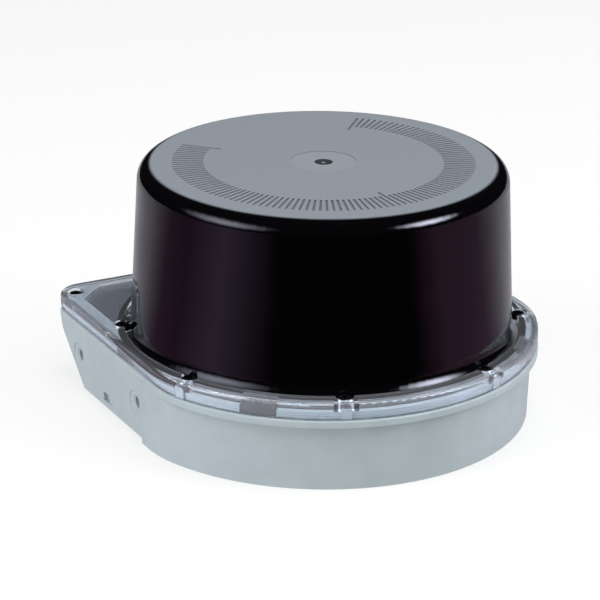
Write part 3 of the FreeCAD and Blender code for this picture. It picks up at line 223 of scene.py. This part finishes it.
def blackOxideSteel():
    # blackened steel screws: oiled, dark, with a soft sheen
    material, tree, shader = newFinish("blackOxideSteel", "#1A1A1C", roughness=0.38, metallic=0.7)
    addMottle(tree, shader, "#161618", "#222225", sizeMm=0.9)
    addGrain(tree, shader, grainMm=0.12, depthMm=0.004)
    return material


def nickelPlatedBrass():
    # turned and nickel plated: warm grey metal, finely rough from the tool
    material, tree, shader = newFinish("nickelPlatedBrass", "#CCCAC4", roughness=0.24, metallic=1.0)
    addMottle(tree, shader, "#C5C3BC", "#D3D1CC", sizeMm=3.0)
    addGrain(tree, shader, grainMm=0.15, depthMm=0.003)
    return material


def blackNylon():
    # glass-filled nylon insert: matt black with a faint fibre grain
    material, tree, shader = newFinish("blackNylon", "#17181A", roughness=0.55)
    addMottle(tree, shader, "#151618", "#1E1F22", sizeMm=0.8)
    addGrain(tree, shader, grainMm=0.2, depthMm=0.006)
    return material


def nitrileRubber():
    # moulded nitrile seal: dull black
    material, tree, shader = newFinish("nitrileRubber", "#1B1B1C", roughness=0.7)
    addMottle(tree, shader, "#181819", "#222223", sizeMm=1.0)
    addGrain(tree, shader, grainMm=0.3, depthMm=0.01)
    return material


def greySilicone():
    # flat grey silicone seal under the clear skirt
    material, tree, shader = newFinish("greySilicone", "#8B9196", roughness=0.6)
    addMottle(tree, shader, "#868C91", "#92989D", sizeMm=1.0)
    addGrain(tree, shader, grainMm=0.3, depthMm=0.008)
    return material


def pocketLinerShade():
    # matt dark blue-grey liner under the clear plate; its darkness is partly painted shade of the pocket
    # below the plate
    material, tree, shader = newFinish("pocketLinerShade", "#28303A", roughness=0.5)
    addMottle(tree, shader, "#252D37", "#2D3540", sizeMm=2.0)
    addGrain(tree, shader, grainMm=0.3, depthMm=0.01)
    return material


def darkLampBlock():
    # lamp blocks: dark moulded plastic with a violet cast and a soft gloss
    material, tree, shader = newFinish("darkLampBlock", "#16141B", roughness=0.45)
    addMottle(tree, shader, "#131118", "#1B1920", sizeMm=1.2)
    addGrain(tree, shader, grainMm=0.4, depthMm=0.006)
    return material


def greenSolderMask():
    # circuit boards: green solder mask over copper
    material, tree, shader = newFinish("greenSolderMask", "#1E5A3A", roughness=0.35)
    addMottle(tree, shader, "#1A5234", "#256B46", sizeMm=1.5)
    addGrain(tree, shader, grainMm=0.8, depthMm=0.01)
    return material


def mouldedComponents():
    # epoxy and ferrite parts on the boards
    material, tree, shader = newFinish("mouldedComponents", "#232427", roughness=0.5)
    addMottle(tree, shader, "#1F2023", "#2C2D31", sizeMm=2.0)
    addGrain(tree, shader, grainMm=0.25, depthMm=0.008)
    return material


def smokedLampResin():
    # smoked epoxy of the lamps, unlit
    material, tree, shader = newFinish("smokedLampResin", "#3A3840", roughness=0.25)
    addMottle(tree, shader, "#34323A", "#45434C", sizeMm=0.6)
    return material


def goldPlatedContacts():
    # hard gold over nickel
    material, tree, shader = newFinish("goldPlatedContacts", "#D8B25A", roughness=0.2, metallic=1.0)
    addMottle(tree, shader, "#CFA750", "#DFBC69", sizeMm=0.8)
    return material


def machinedAluminium():
    # milled and turned aluminium with fine tool marks
    material, tree, shader = newFinish("machinedAluminium", "#C4C6C8", roughness=0.35, metallic=1.0)
    addMottle(tree, shader, "#BBBDBF", "#CCCED0", sizeMm=4.0)
    addGrain(tree, shader, grainMm=0.3, depthMm=0.004, stretch=(1, 6, 1))
    return material


def blackAnodisedAluminium():
    # black anodised aluminium: deep satin black that keeps a metal's sheen
    material, tree, shader = newFinish("blackAnodisedAluminium", "#222326", roughness=0.42, metallic=0.6)
    addMottle(tree, shader, "#1F2023", "#292A2E", sizeMm=3.0)
    addGrain(tree, shader, grainMm=0.2, depthMm=0.004)
    return material


def groundBearingSteel():
    # hardened and ground bearing steel
    material, tree, shader = newFinish("groundBearingSteel", "#C8C9CB", roughness=0.15, metallic=1.0)
    addMottle(tree, shader, "#C0C1C3", "#D0D1D3", sizeMm=1.0)
    return material


def laminatedSteel():
    # stacked motor sheets: fine lines round the edge, drawn coarser than the real 0.35 mm so that they show
    material, tree, shader = newFinish("laminatedSteel", "#6C6D70", roughness=0.4, metallic=1.0)
    addLines(tree, shader, spacingMm=2.2, depthMm=0.03, distortion=0.0)
    addMottle(tree, shader, "#646568", "#747579", sizeMm=1.0)
    return material


def enamelledCopper():
    # windings of 0.4 mm copper wire, drawn coarser so that they show
    material, tree, shader = newFinish("enamelledCopper", "#B4692F", roughness=0.28, metallic=1.0)
    addLines(tree, shader, spacingMm=2.513, depthMm=0.1, distortion=0.4)
    addMottle(tree, shader, "#A85F28", "#C07838", sizeMm=0.8)
    return material


def bondedMagnet():
    # pressed magnet powder in resin: dark, grainy
    material, tree, shader = newFinish("bondedMagnet", "#3B3C3F", roughness=0.5, metallic=0.5)
    addMottle(tree, shader, "#343538", "#46474B", sizeMm=0.6)
    addGrain(tree, shader, grainMm=0.2, depthMm=0.01)
    return material


def frontSurfaceMirror():
    # protected aluminium on glass
    material, tree, shader = newFinish("frontSurfaceMirror", "#E9EAEC", roughness=0.02, metallic=1.0)
    addRoughnessRange(tree, shader, low=0.01, high=0.03, sizeMm=4.0)
    return material


def coatedLensGlass():
    # coated optical glass with a faint green-blue bloom
    material, tree, shader = newFinish("coatedLensGlass", "#EAF4F2", roughness=0.01, IOR=1.52)
    shader.inputs["Transmission Weight"].default_value = 1.0
    addRoughnessRange(tree, shader, low=0.005, high=0.02, sizeMm=5.0)
    return material


def turnedBrass():
    # turned brass
    material, tree, shader = newFinish("turnedBrass", "#C9A45C", roughness=0.25, metallic=1.0)
    addMottle(tree, shader, "#BF9A52", "#D2AF6B", sizeMm=2.0)
    addGrain(tree, shader, grainMm=0.15, depthMm=0.003)
    return material


finishes = {make.__name__: make() for make in (
    powderCoatedAluminium, clearPolycarbonate, infraredPolycarbonate, stainlessSteel, blackOxideSteel,
    nickelPlatedBrass, blackNylon, nitrileRubber, greySilicone, pocketLinerShade, darkLampBlock, greenSolderMask,
    mouldedComponents, smokedLampResin, goldPlatedContacts, machinedAluminium, blackAnodisedAluminium,
    groundBearingSteel, laminatedSteel, enamelledCopper, bondedMagnet, frontSurfaceMirror, coatedLensGlass,
    turnedBrass)}
print("finishes made:", len(finishes))


# CAD nodes that stay, each with its finish

finishOfNode = {
    "rim_gasket": "greySilicone", "dome_gasket": "nitrileRubber", "connector_seals": "nitrileRubber",
    "corner_liner": "pocketLinerShade", "status_led_boards": "darkLampBlock", "status_leds": "smokedLampResin",
    "connector_nuts": "nickelPlatedBrass", "contact_carriers": "blackNylon",
    "contact_pins": "goldPlatedContacts", "connector_board": "greenSolderMask",
    "main_board": "greenSolderMask", "board_parts": "mouldedComponents", "board_screws": "stainlessSteel",
    "chassis_plate": "machinedAluminium", "plate_screws": "stainlessSteel",
    "bearing_tube": "machinedAluminium", "tube_screws": "stainlessSteel",
    "lower_bearing": "groundBearingSteel", "upper_bearing": "groundBearingSteel",
    "rotor_shaft": "groundBearingSteel", "shaft_clip": "stainlessSteel", "stator_core": "laminatedSteel",
    "stator_coils": "enamelledCopper", "rotor_hub": "machinedAluminium", "magnet_ring": "bondedMagnet",
    "encoder_disc": "blackAnodisedAluminium", "mirror_carrier": "blackAnodisedAluminium",
    "scan_mirror": "frontSurfaceMirror", "balance_weight": "turnedBrass", "encoder_reader": "blackNylon",
    "optics_bridge": "blackAnodisedAluminium", "bridge_screws": "stainlessSteel",
    "lens_barrel": "blackAnodisedAluminium", "receiver_lens": "coatedLensGlass",
    "laser_module": "turnedBrass", "receiver_board": "greenSolderMask", "detector_chip": "mouldedComponents",
}

for nodeName, finishName in finishOfNode.items():
    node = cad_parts[nodeName]
    node.data.materials.clear()
    node.data.materials.append(finishes[finishName])
print("carried-over nodes finished:", len(finishOfNode))


def placePiece(name, bm, finish, node):
    mesh = bpy.data.meshes.new(name)
    bm.to_mesh(mesh)
    bm.free()
    mesh.materials.append(finishes[finish])
    piece = bpy.data.objects.new(name, mesh)
    bpy.context.scene.collection.objects.link(piece)
    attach(piece, "housing")
    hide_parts(node)
    return piece


def shadeSharp(bm, sharpDegrees):
    for face in bm.faces:
        face.smooth = True
    for edge in bm.edges:
        edge.smooth = len(edge.link_faces) == 2 and edge.calc_face_angle(0) < math.radians(sharpDegrees)


# Base, cover and dome: the CAD solids again, with their triangles merged so that round faces shade round

shellMake = {
    "mergeMm": 0.002, "dissolveMm": 0.0005, "sharpDegrees": 28, "areaWeight": 100,
    "shells": {
        "base_housing": ("castBase", "powderCoatedAluminium", "painted_casting"),
        "clear_cover": ("clearRing", "clearPolycarbonate", "clear_plastic"),
        "optics_dome": ("darkDome", "infraredPolycarbonate", "dome_plastic"),
    },
}


def makeShells():
    for node, (name, finish, slot) in shellMake["shells"].items():
        bm = bmesh.new()
        bm.from_mesh(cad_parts[node].data)
        bmesh.ops.remove_doubles(bm, verts=bm.verts, dist=shellMake["mergeMm"] * mm)
        bmesh.ops.dissolve_degenerate(bm, edges=bm.edges, dist=shellMake["dissolveMm"] * mm)
        shadeSharp(bm, shellMake["sharpDegrees"])
        shell = placePiece(name, bm, finish, node)
        level = shell.modifiers.new("evenShading", "WEIGHTED_NORMAL")
        level.weight = shellMake["areaWeight"]
        level.keep_sharp = True
        shell.visible_shadow = node != "clear_cover"  # clear plastic lets the lamps' light through
    print("base, cover and dome ready")


makeShells()


# Screws with a six-lobe socket, and connector bodies with a rolled thread; lengths in mm

def evenRadius(reachMm):
    return lambda angle, height: reachMm * mm


def stackRings(bm, rows, segments, closed=False):
    # one ring of points for each row of a height and the radius at each angle, joined to the next
    loops = []
    for height, radiusAt in rows:
        made = bmesh.ops.create_circle(bm, cap_ends=False, radius=1.0, segments=segments)
        for vert in made["verts"]:
            angle = math.atan2(vert.co.y, vert.co.x)
            reach = radiusAt(angle, height)
            vert.co = (reach * math.cos(angle), reach * math.sin(angle), height)
        loops.append(list({edge for vert in made["verts"] for edge in vert.link_edges}))
    for low, high in zip(loops, loops[1:] + (loops[:1] if closed else [])):
        bmesh.ops.bridge_loops(bm, edges=low + high)
    if not closed:
        for loop in (loops[0], loops[-1]):
            bmesh.ops.edgeloop_fill(bm, edges=loop)
    bmesh.ops.recalc_face_normals(bm, faces=bm.faces)


screwMake = {
    "segments": 72, "headRadius": 2.4, "headHeight": 1.5, "headEdge": 0.08, "edgeRound": 0.4, "roundSteps": 6,
    "shankRadius": 1.2, "length": 6.0, "tipChamfer": 0.25, "lobes": 6, "lobeRadius": 1.22, "lobeDepth": 0.2,
    "socketDepth": 0.8, "sharpDegrees": 30, "circle": 72.3, "first": 22.5, "count": 8, "seat": 31.2,
    "cornerPlaces": ((-68.7, 64.8), (68.7, 64.8)), "cornerSeat": 30.8,
}


def addScrew(bm, x, y, seat, turn):
    def socketRadius(angle, height):
        wave = (math.cos(screwMake["lobes"] * (angle + turn)) - 1) / 2
        return (screwMake["lobeRadius"] + screwMake["lobeDepth"] * wave) * mm

    tip = seat - screwMake["length"]
    head = seat + screwMake["headHeight"]
    shank, wide = screwMake["shankRadius"], screwMake["headRadius"]
    chamfer, edge, rounding = screwMake["tipChamfer"], screwMake["headEdge"], screwMake["edgeRound"]
    profile = [(tip, shank - chamfer), (tip + chamfer, shank), (seat, shank), (seat, wide - edge),
               (seat + edge, wide)]
    for step in range(screwMake["roundSteps"]):
        angle = math.pi / 2 * step / (screwMake["roundSteps"] - 1)
        profile.append((head - rounding + rounding * math.sin(angle),
                        wide - rounding + rounding * math.cos(angle)))
    rows = [(z * mm, evenRadius(reach)) for z, reach in profile]
    rows += [(head * mm, socketRadius), ((head - screwMake["socketDepth"]) * mm, socketRadius)]
    part = bmesh.new()
    stackRings(part, rows, screwMake["segments"])
    part.transform(Matrix.Translation((x * mm, y * mm, 0)))
    mesh = bpy.data.meshes.new("oneScrew")
    part.to_mesh(mesh)
    part.free()
    bm.from_mesh(mesh)
    bpy.data.meshes.remove(mesh)


def makeScrews():
    bm = bmesh.new()
    for k in range(screwMake["count"]):
        angle = math.radians(screwMake["first"] + k * 360 / screwMake["count"])
        addScrew(bm, screwMake["circle"] * math.sin(angle), -screwMake["circle"] * math.cos(angle),
                 screwMake["seat"], turn=0.4 * k)  # each screw stopped at its own angle
    shadeSharp(bm, screwMake["sharpDegrees"])
    placePiece("lobedDomeScrews", bm, "blackOxideSteel", "dome_screws")
    bm = bmesh.new()
    for k, (x, y) in enumerate(screwMake["cornerPlaces"]):
        addScrew(bm, x, y, screwMake["cornerSeat"], turn=0.3 + 0.5 * k)
    shadeSharp(bm, screwMake["sharpDegrees"])
    placePiece("lobedCornerScrews", bm, "blackOxideSteel", "corner_screws")
    print("screws ready")


# heights run along each connector's axis, from the slanted wall outwards
plugMake = {
    "segments": 96, "bore": 4.35, "boreChamfer": 0.2, "bodyRadius": 7.0, "bodyLow": -8.5, "seal": 0.8,
    "flangeRadius": 8.0, "flangeEdge": 0.15, "flangeTop": 2.8, "edgeChamfer": 0.3, "reliefRadius": 5.4,
    "reliefTop": 3.6, "threadRadius": 6.0, "threadDepth": 0.54, "pitch": 1.0, "rowsPerTurn": 10, "top": 9.5,
    "chamfer": 0.35, "flankSlope": 1.25, "rootShare": 0.125, "sharpDegrees": 24, "pitchBetween": 30.0,
    "footY": 46.0, "footZ": 2.0, "alongSlant": 13.2, "slantTurn": -135.0,
    "bodies": (("threadedPowerBody", "power_connector"), ("threadedDataBody", "data_connector"),
               ("threadedIoBody", "io_connector")),
}


def threadRadiusAt(angle, height):
    # sixty degree thread with flat crests and roots, running out at both ends
    phase = (height / mm / plugMake["pitch"] - angle / (2 * math.pi)) % 1
    flank = min(1.0, max(0.0, abs(phase - 0.5) * 2 * plugMake["flankSlope"] - plugMake["rootShare"]))
    reach = plugMake["threadRadius"] - plugMake["threadDepth"] * (1 - flank)
    top = plugMake["threadRadius"] - max(0.0, height / mm - (plugMake["top"] - plugMake["chamfer"]))
    low = plugMake["reliefRadius"] + max(0.0, height / mm - plugMake["reliefTop"])
    return min(reach, top, low) * mm


def makePlugBody(name, node, x):
    bore, body, flange = plugMake["bore"], plugMake["bodyRadius"], plugMake["flangeRadius"]
    low, seal, flangeTop, top = plugMake["bodyLow"], plugMake["seal"], plugMake["flangeTop"], plugMake["top"]
    chamfer, edge = plugMake["edgeChamfer"], plugMake["flangeEdge"]
    profile = [(low, bore), (low, body - chamfer), (low + chamfer, body), (seal, body), (seal, flange - edge),
               (seal + edge, flange), (flangeTop - chamfer, flange), (flangeTop, flange - chamfer),
               (flangeTop, plugMake["reliefRadius"])]
    rows = [(z * mm, evenRadius(reach)) for z, reach in profile]
    step = plugMake["pitch"] / plugMake["rowsPerTurn"]
    count = round((top - plugMake["reliefTop"]) / step)
    rows += [((plugMake["reliefTop"] + k * step) * mm, threadRadiusAt) for k in range(count + 1)]
    rows += [(top * mm, evenRadius(bore + plugMake["boreChamfer"])),
             ((top - plugMake["boreChamfer"]) * mm, evenRadius(bore))]
    bm = bmesh.new()
    stackRings(bm, rows, plugMake["segments"], closed=True)
    shadeSharp(bm, plugMake["sharpDegrees"])
    along = plugMake["alongSlant"] * math.sqrt(0.5)
    place = Matrix.Translation((x * mm, (plugMake["footY"] + along) * mm, (plugMake["footZ"] + along) * mm))
    bm.transform(place @ Matrix.Rotation(math.radians(plugMake["slantTurn"]), 4, "X"))
    placePiece(name, bm, "nickelPlatedBrass", node)


makeScrews()
for side, (name, node) in zip((-1, 0, 1), plugMake["bodies"]):
    makePlugBody(name, node, side * plugMake["pitchBetween"])
print("connector bodies ready")


# Studio

# places and sizes in metres, lamp power in watts, angles in degrees
# floorTones: what the gloss sees of the floor at each angle, 0 in front of the object and minus to its left
studioLook = {
    "floorHalf": 1.3, "floorDrop": 0.0002, "floorLight": 0.72, "floorBounce": 0.80, "paper": "#E8E8E8",
    "worldLight": 0.32, "worldLow": 0.01, "worldHigh": 0.02, "roomFrom": 0.1, "roomTo": 0.9,
    "backdropFrom": 0.05, "backdropTo": 0.25, "aim": (0, 0, 0.04), "glowTint": "#E8EAFF",
    "glows": {
        "leftGlow": {"turn": -92, "rise": 22, "wide": 0.60, "high": 0.38, "power": 4.0},
        "rightGlow": {"turn": 42, "rise": 27, "wide": 0.42, "high": 0.28, "power": 16.0},
    },
    "floorTones": (
        (-180, "#BCBCC0"), (-145, "#A8A4B0"), (-125, "#684C64"), (-108, "#644460"), (-84, "#9C84A4"),
        (-54, "#100810"), (-45, "#000000"), (20, "#000000"), (38, "#84607C"), (68, "#7C6078"),
        (95, "#B4B2BA"), (180, "#BCBCC0"),
    ),
    "lamps": {
        "overheadSoftbox": {"place": (0.1, -0.3, 1.3), "size": 1.0, "power": 10.5},
        "leftSoftbox": {"place": (-1.0, 0.05, 0.95), "size": 0.6, "power": 6.5},
        "rightSoftbox": {"place": (0.75, -0.9, 0.95), "size": 0.7, "power": 7.0},
        "leftFill": {"place": (-1.3, -0.1, 0.25), "size": 0.5, "power": 5.0},
        "rightFill": {"place": (1.3, -0.3, 0.25), "size": 0.5, "power": 6.0},
    },
}


def pointAt(place, target):
    return (Vector(target) - Vector(place)).to_track_quat("-Z", "Y")


def makeLamps():
    for name, lamp in studioLook["lamps"].items():
        light = bpy.data.lights.new(name, "AREA")
        light.size = lamp["size"]
        light.energy = lamp["power"]
        holder = bpy.data.objects.new(name, light)
        holder.location = lamp["place"]
        holder.rotation_mode = "QUATERNION"
        holder.rotation_quaternion = pointAt(lamp["place"], studioLook["aim"])
        holder.visible_glossy = False  # the gloss shows the world's glows instead
        bpy.context.scene.collection.objects.link(holder)


def makeFloor():
    bm = bmesh.new()
    bmesh.ops.create_grid(bm, x_segments=2, y_segments=2, size=studioLook["floorHalf"])
    mesh = bpy.data.meshes.new("floorPaper")
    bm.to_mesh(mesh)
    bm.free()
    floor = bpy.data.objects.new("floorPaper", mesh)
    floor.location.z = -studioLook["floorDrop"]
    bpy.context.scene.collection.objects.link(floor)
    material = bpy.data.materials.new("floorPaper")
    material.use_nodes = True
    tree = material.node_tree
    tree.nodes.clear()
    path = addNode(tree, "ShaderNodeLightPath")
    paper = addNode(tree, "ShaderNodeBsdfDiffuse", {"Color": linearColour(studioLook["paper"])})
    white = addNode(tree, "ShaderNodeEmission", {"Color": linearColour("#FFFFFF"), "Strength": 1.0})
    seen = addNode(tree, "ShaderNodeMixShader", {
        0: studioLook["floorLight"], 1: paper.outputs["BSDF"], 2: white.outputs["Emission"]})
    direct = addNode(tree, "ShaderNodeMath", {
        0: path.outputs["Is Camera Ray"], 1: path.outputs["Is Transmission Ray"]}, operation="MAXIMUM")
    # in the object's gloss the floor is dark in front of it, lilac at its sides and pale behind it
    place = addNode(tree, "ShaderNodeTexCoord")
    turned = addNode(tree, "ShaderNodeMapping", {
        "Vector": place.outputs["Object"], "Rotation": (0, 0, math.radians(90))})
    around = addNode(tree, "ShaderNodeTexGradient", {"Vector": turned.outputs["Vector"]},
                     gradient_type="RADIAL")
    tones = addNode(tree, "ShaderNodeValToRGB", {"Fac": around.outputs["Fac"]})
    stops = tones.color_ramp.elements
    while len(stops) < len(studioLook["floorTones"]):
        stops.new(0.5)
    for stop, (degrees, tone) in zip(stops, studioLook["floorTones"]):
        stop.position = 0.5 + degrees / 360
        stop.color = linearColour(tone)
    dull = addNode(tree, "ShaderNodeEmission", {"Color": tones.outputs["Color"]})
    bounce = addNode(tree, "ShaderNodeMixShader", {
        0: studioLook["floorBounce"], 1: paper.outputs["BSDF"], 2: white.outputs["Emission"]})
    plain = addNode(tree, "ShaderNodeMixShader", {
        0: path.outputs["Is Glossy Ray"], 1: bounce.outputs["Shader"], 2: dull.outputs["Emission"]})
    result = addNode(tree, "ShaderNodeMixShader", {
        0: direct.outputs["Value"], 1: plain.outputs["Shader"], 2: seen.outputs["Shader"]})
    # seen from below, the paper lets the base's underside through
    side = addNode(tree, "ShaderNodeNewGeometry")
    clear = addNode(tree, "ShaderNodeBsdfTransparent")
    oneSided = addNode(tree, "ShaderNodeMixShader", {
        0: side.outputs["Backfacing"], 1: result.outputs["Shader"], 2: clear.outputs["BSDF"]})
    addNode(tree, "ShaderNodeOutputMaterial", {"Surface": oneSided.outputs["Shader"]})
    mesh.materials.append(material)


def makeWorld():
    world = bpy.data.worlds.new("studioWorld")
    world.use_nodes = True
    bpy.context.scene.world = world
    tree = world.node_tree
    tree.nodes.clear()
    path = addNode(tree, "ShaderNodeLightPath")
    place = addNode(tree, "ShaderNodeTexCoord")
    parts = addNode(tree, "ShaderNodeSeparateXYZ", {"Vector": place.outputs["Generated"]})
    # through clear plastic the backdrop is white as far as it reaches up
    backdrop = addNode(tree, "ShaderNodeMapRange", {
        "Value": parts.outputs["Z"], "From Min": studioLook["backdropFrom"],
        "From Max": studioLook["backdropTo"], "To Min": 1.0, "To Max": 0.0})
    through = addNode(tree, "ShaderNodeMath", {
        0: path.outputs["Is Transmission Ray"], 1: backdrop.outputs["Result"]}, operation="MULTIPLY")
    direct = addNode(tree, "ShaderNodeMath", {
        0: path.outputs["Is Camera Ray"], 1: through.outputs["Value"]}, operation="MAXIMUM")
    soft = addNode(tree, "ShaderNodeBackground", {
        "Color": linearColour("#FFFFFF"), "Strength": studioLook["worldLight"]})
    # in the object's gloss the room is dark, with a soft glow at either side
    height = addNode(tree, "ShaderNodeMapRange", {
        "Value": parts.outputs["Z"], "From Min": studioLook["roomFrom"], "From Max": studioLook["roomTo"],
        "To Min": studioLook["worldLow"], "To Max": studioLook["worldHigh"]})
    total = height.outputs["Result"]
    for glow in studioLook["glows"].values():
        turn, rise = math.radians(glow["turn"]), math.radians(glow["rise"])
        middle = (math.sin(turn) * math.cos(rise), -math.cos(turn) * math.cos(rise), math.sin(rise))
        offset = addNode(tree, "ShaderNodeMapping", {
            "Vector": place.outputs["Generated"], "Location": middle, "Rotation": (0, 0, turn),
            "Scale": (glow["wide"], 1.0, glow["high"])}, vector_type="TEXTURE")
        reach = addNode(tree, "ShaderNodeVectorMath", {0: offset.outputs["Vector"]}, operation="LENGTH")
        shine = addNode(tree, "ShaderNodeMapRange", {
            "Value": reach.outputs["Value"], "To Min": glow["power"], "To Max": 0.0},
            interpolation_type="SMOOTHSTEP")
        joined = addNode(tree, "ShaderNodeMath", {0: total, 1: shine.outputs["Result"]}, operation="ADD")
        total = joined.outputs["Value"]
    gloss = addNode(tree, "ShaderNodeBackground", {
        "Color": linearColour(studioLook["glowTint"]), "Strength": total})
    white = addNode(tree, "ShaderNodeBackground", {"Color": linearColour("#FFFFFF"), "Strength": 1.0})
    mixed = addNode(tree, "ShaderNodeMixShader", {
        0: path.outputs["Is Glossy Ray"], 1: soft.outputs["Background"], 2: gloss.outputs["Background"]})
    result = addNode(tree, "ShaderNodeMixShader", {
        0: direct.outputs["Value"], 1: mixed.outputs["Shader"], 2: white.outputs["Background"]})
    addNode(tree, "ShaderNodeOutputWorld", {"Surface": result.outputs["Shader"]})


photoCamera = {
    "place": (-0.40681, -0.73179, 0.36430),
    "forward": (0.445351, 0.819085, -0.361611),
    "up": (0.163838, 0.322504, 0.932281),
    "lens": 148.817, "sensorWidth": 36.0, "clipStart": 0.01, "clipEnd": 20.0,
}


def makeCamera():
    camera = bpy.data.cameras.new("photoCamera")
    camera.lens = photoCamera["lens"]
    camera.sensor_width = photoCamera["sensorWidth"]
    camera.clip_start = photoCamera["clipStart"]
    camera.clip_end = photoCamera["clipEnd"]
    holder = bpy.data.objects.new("photoCamera", camera)
    forward = Vector(photoCamera["forward"]).normalized()
    up = Vector(photoCamera["up"])
    right = forward.cross(up).normalized()
    up = right.cross(forward)
    turn = Matrix((right, up, -forward)).transposed().to_4x4()
    holder.matrix_world = Matrix.Translation(photoCamera["place"]) @ turn
    bpy.context.scene.collection.objects.link(holder)
    bpy.context.scene.camera = holder


makeLamps()
makeFloor()
makeWorld()
makeCamera()
bpy.context.scene.view_settings.view_transform = "Standard"
print("studio ready")
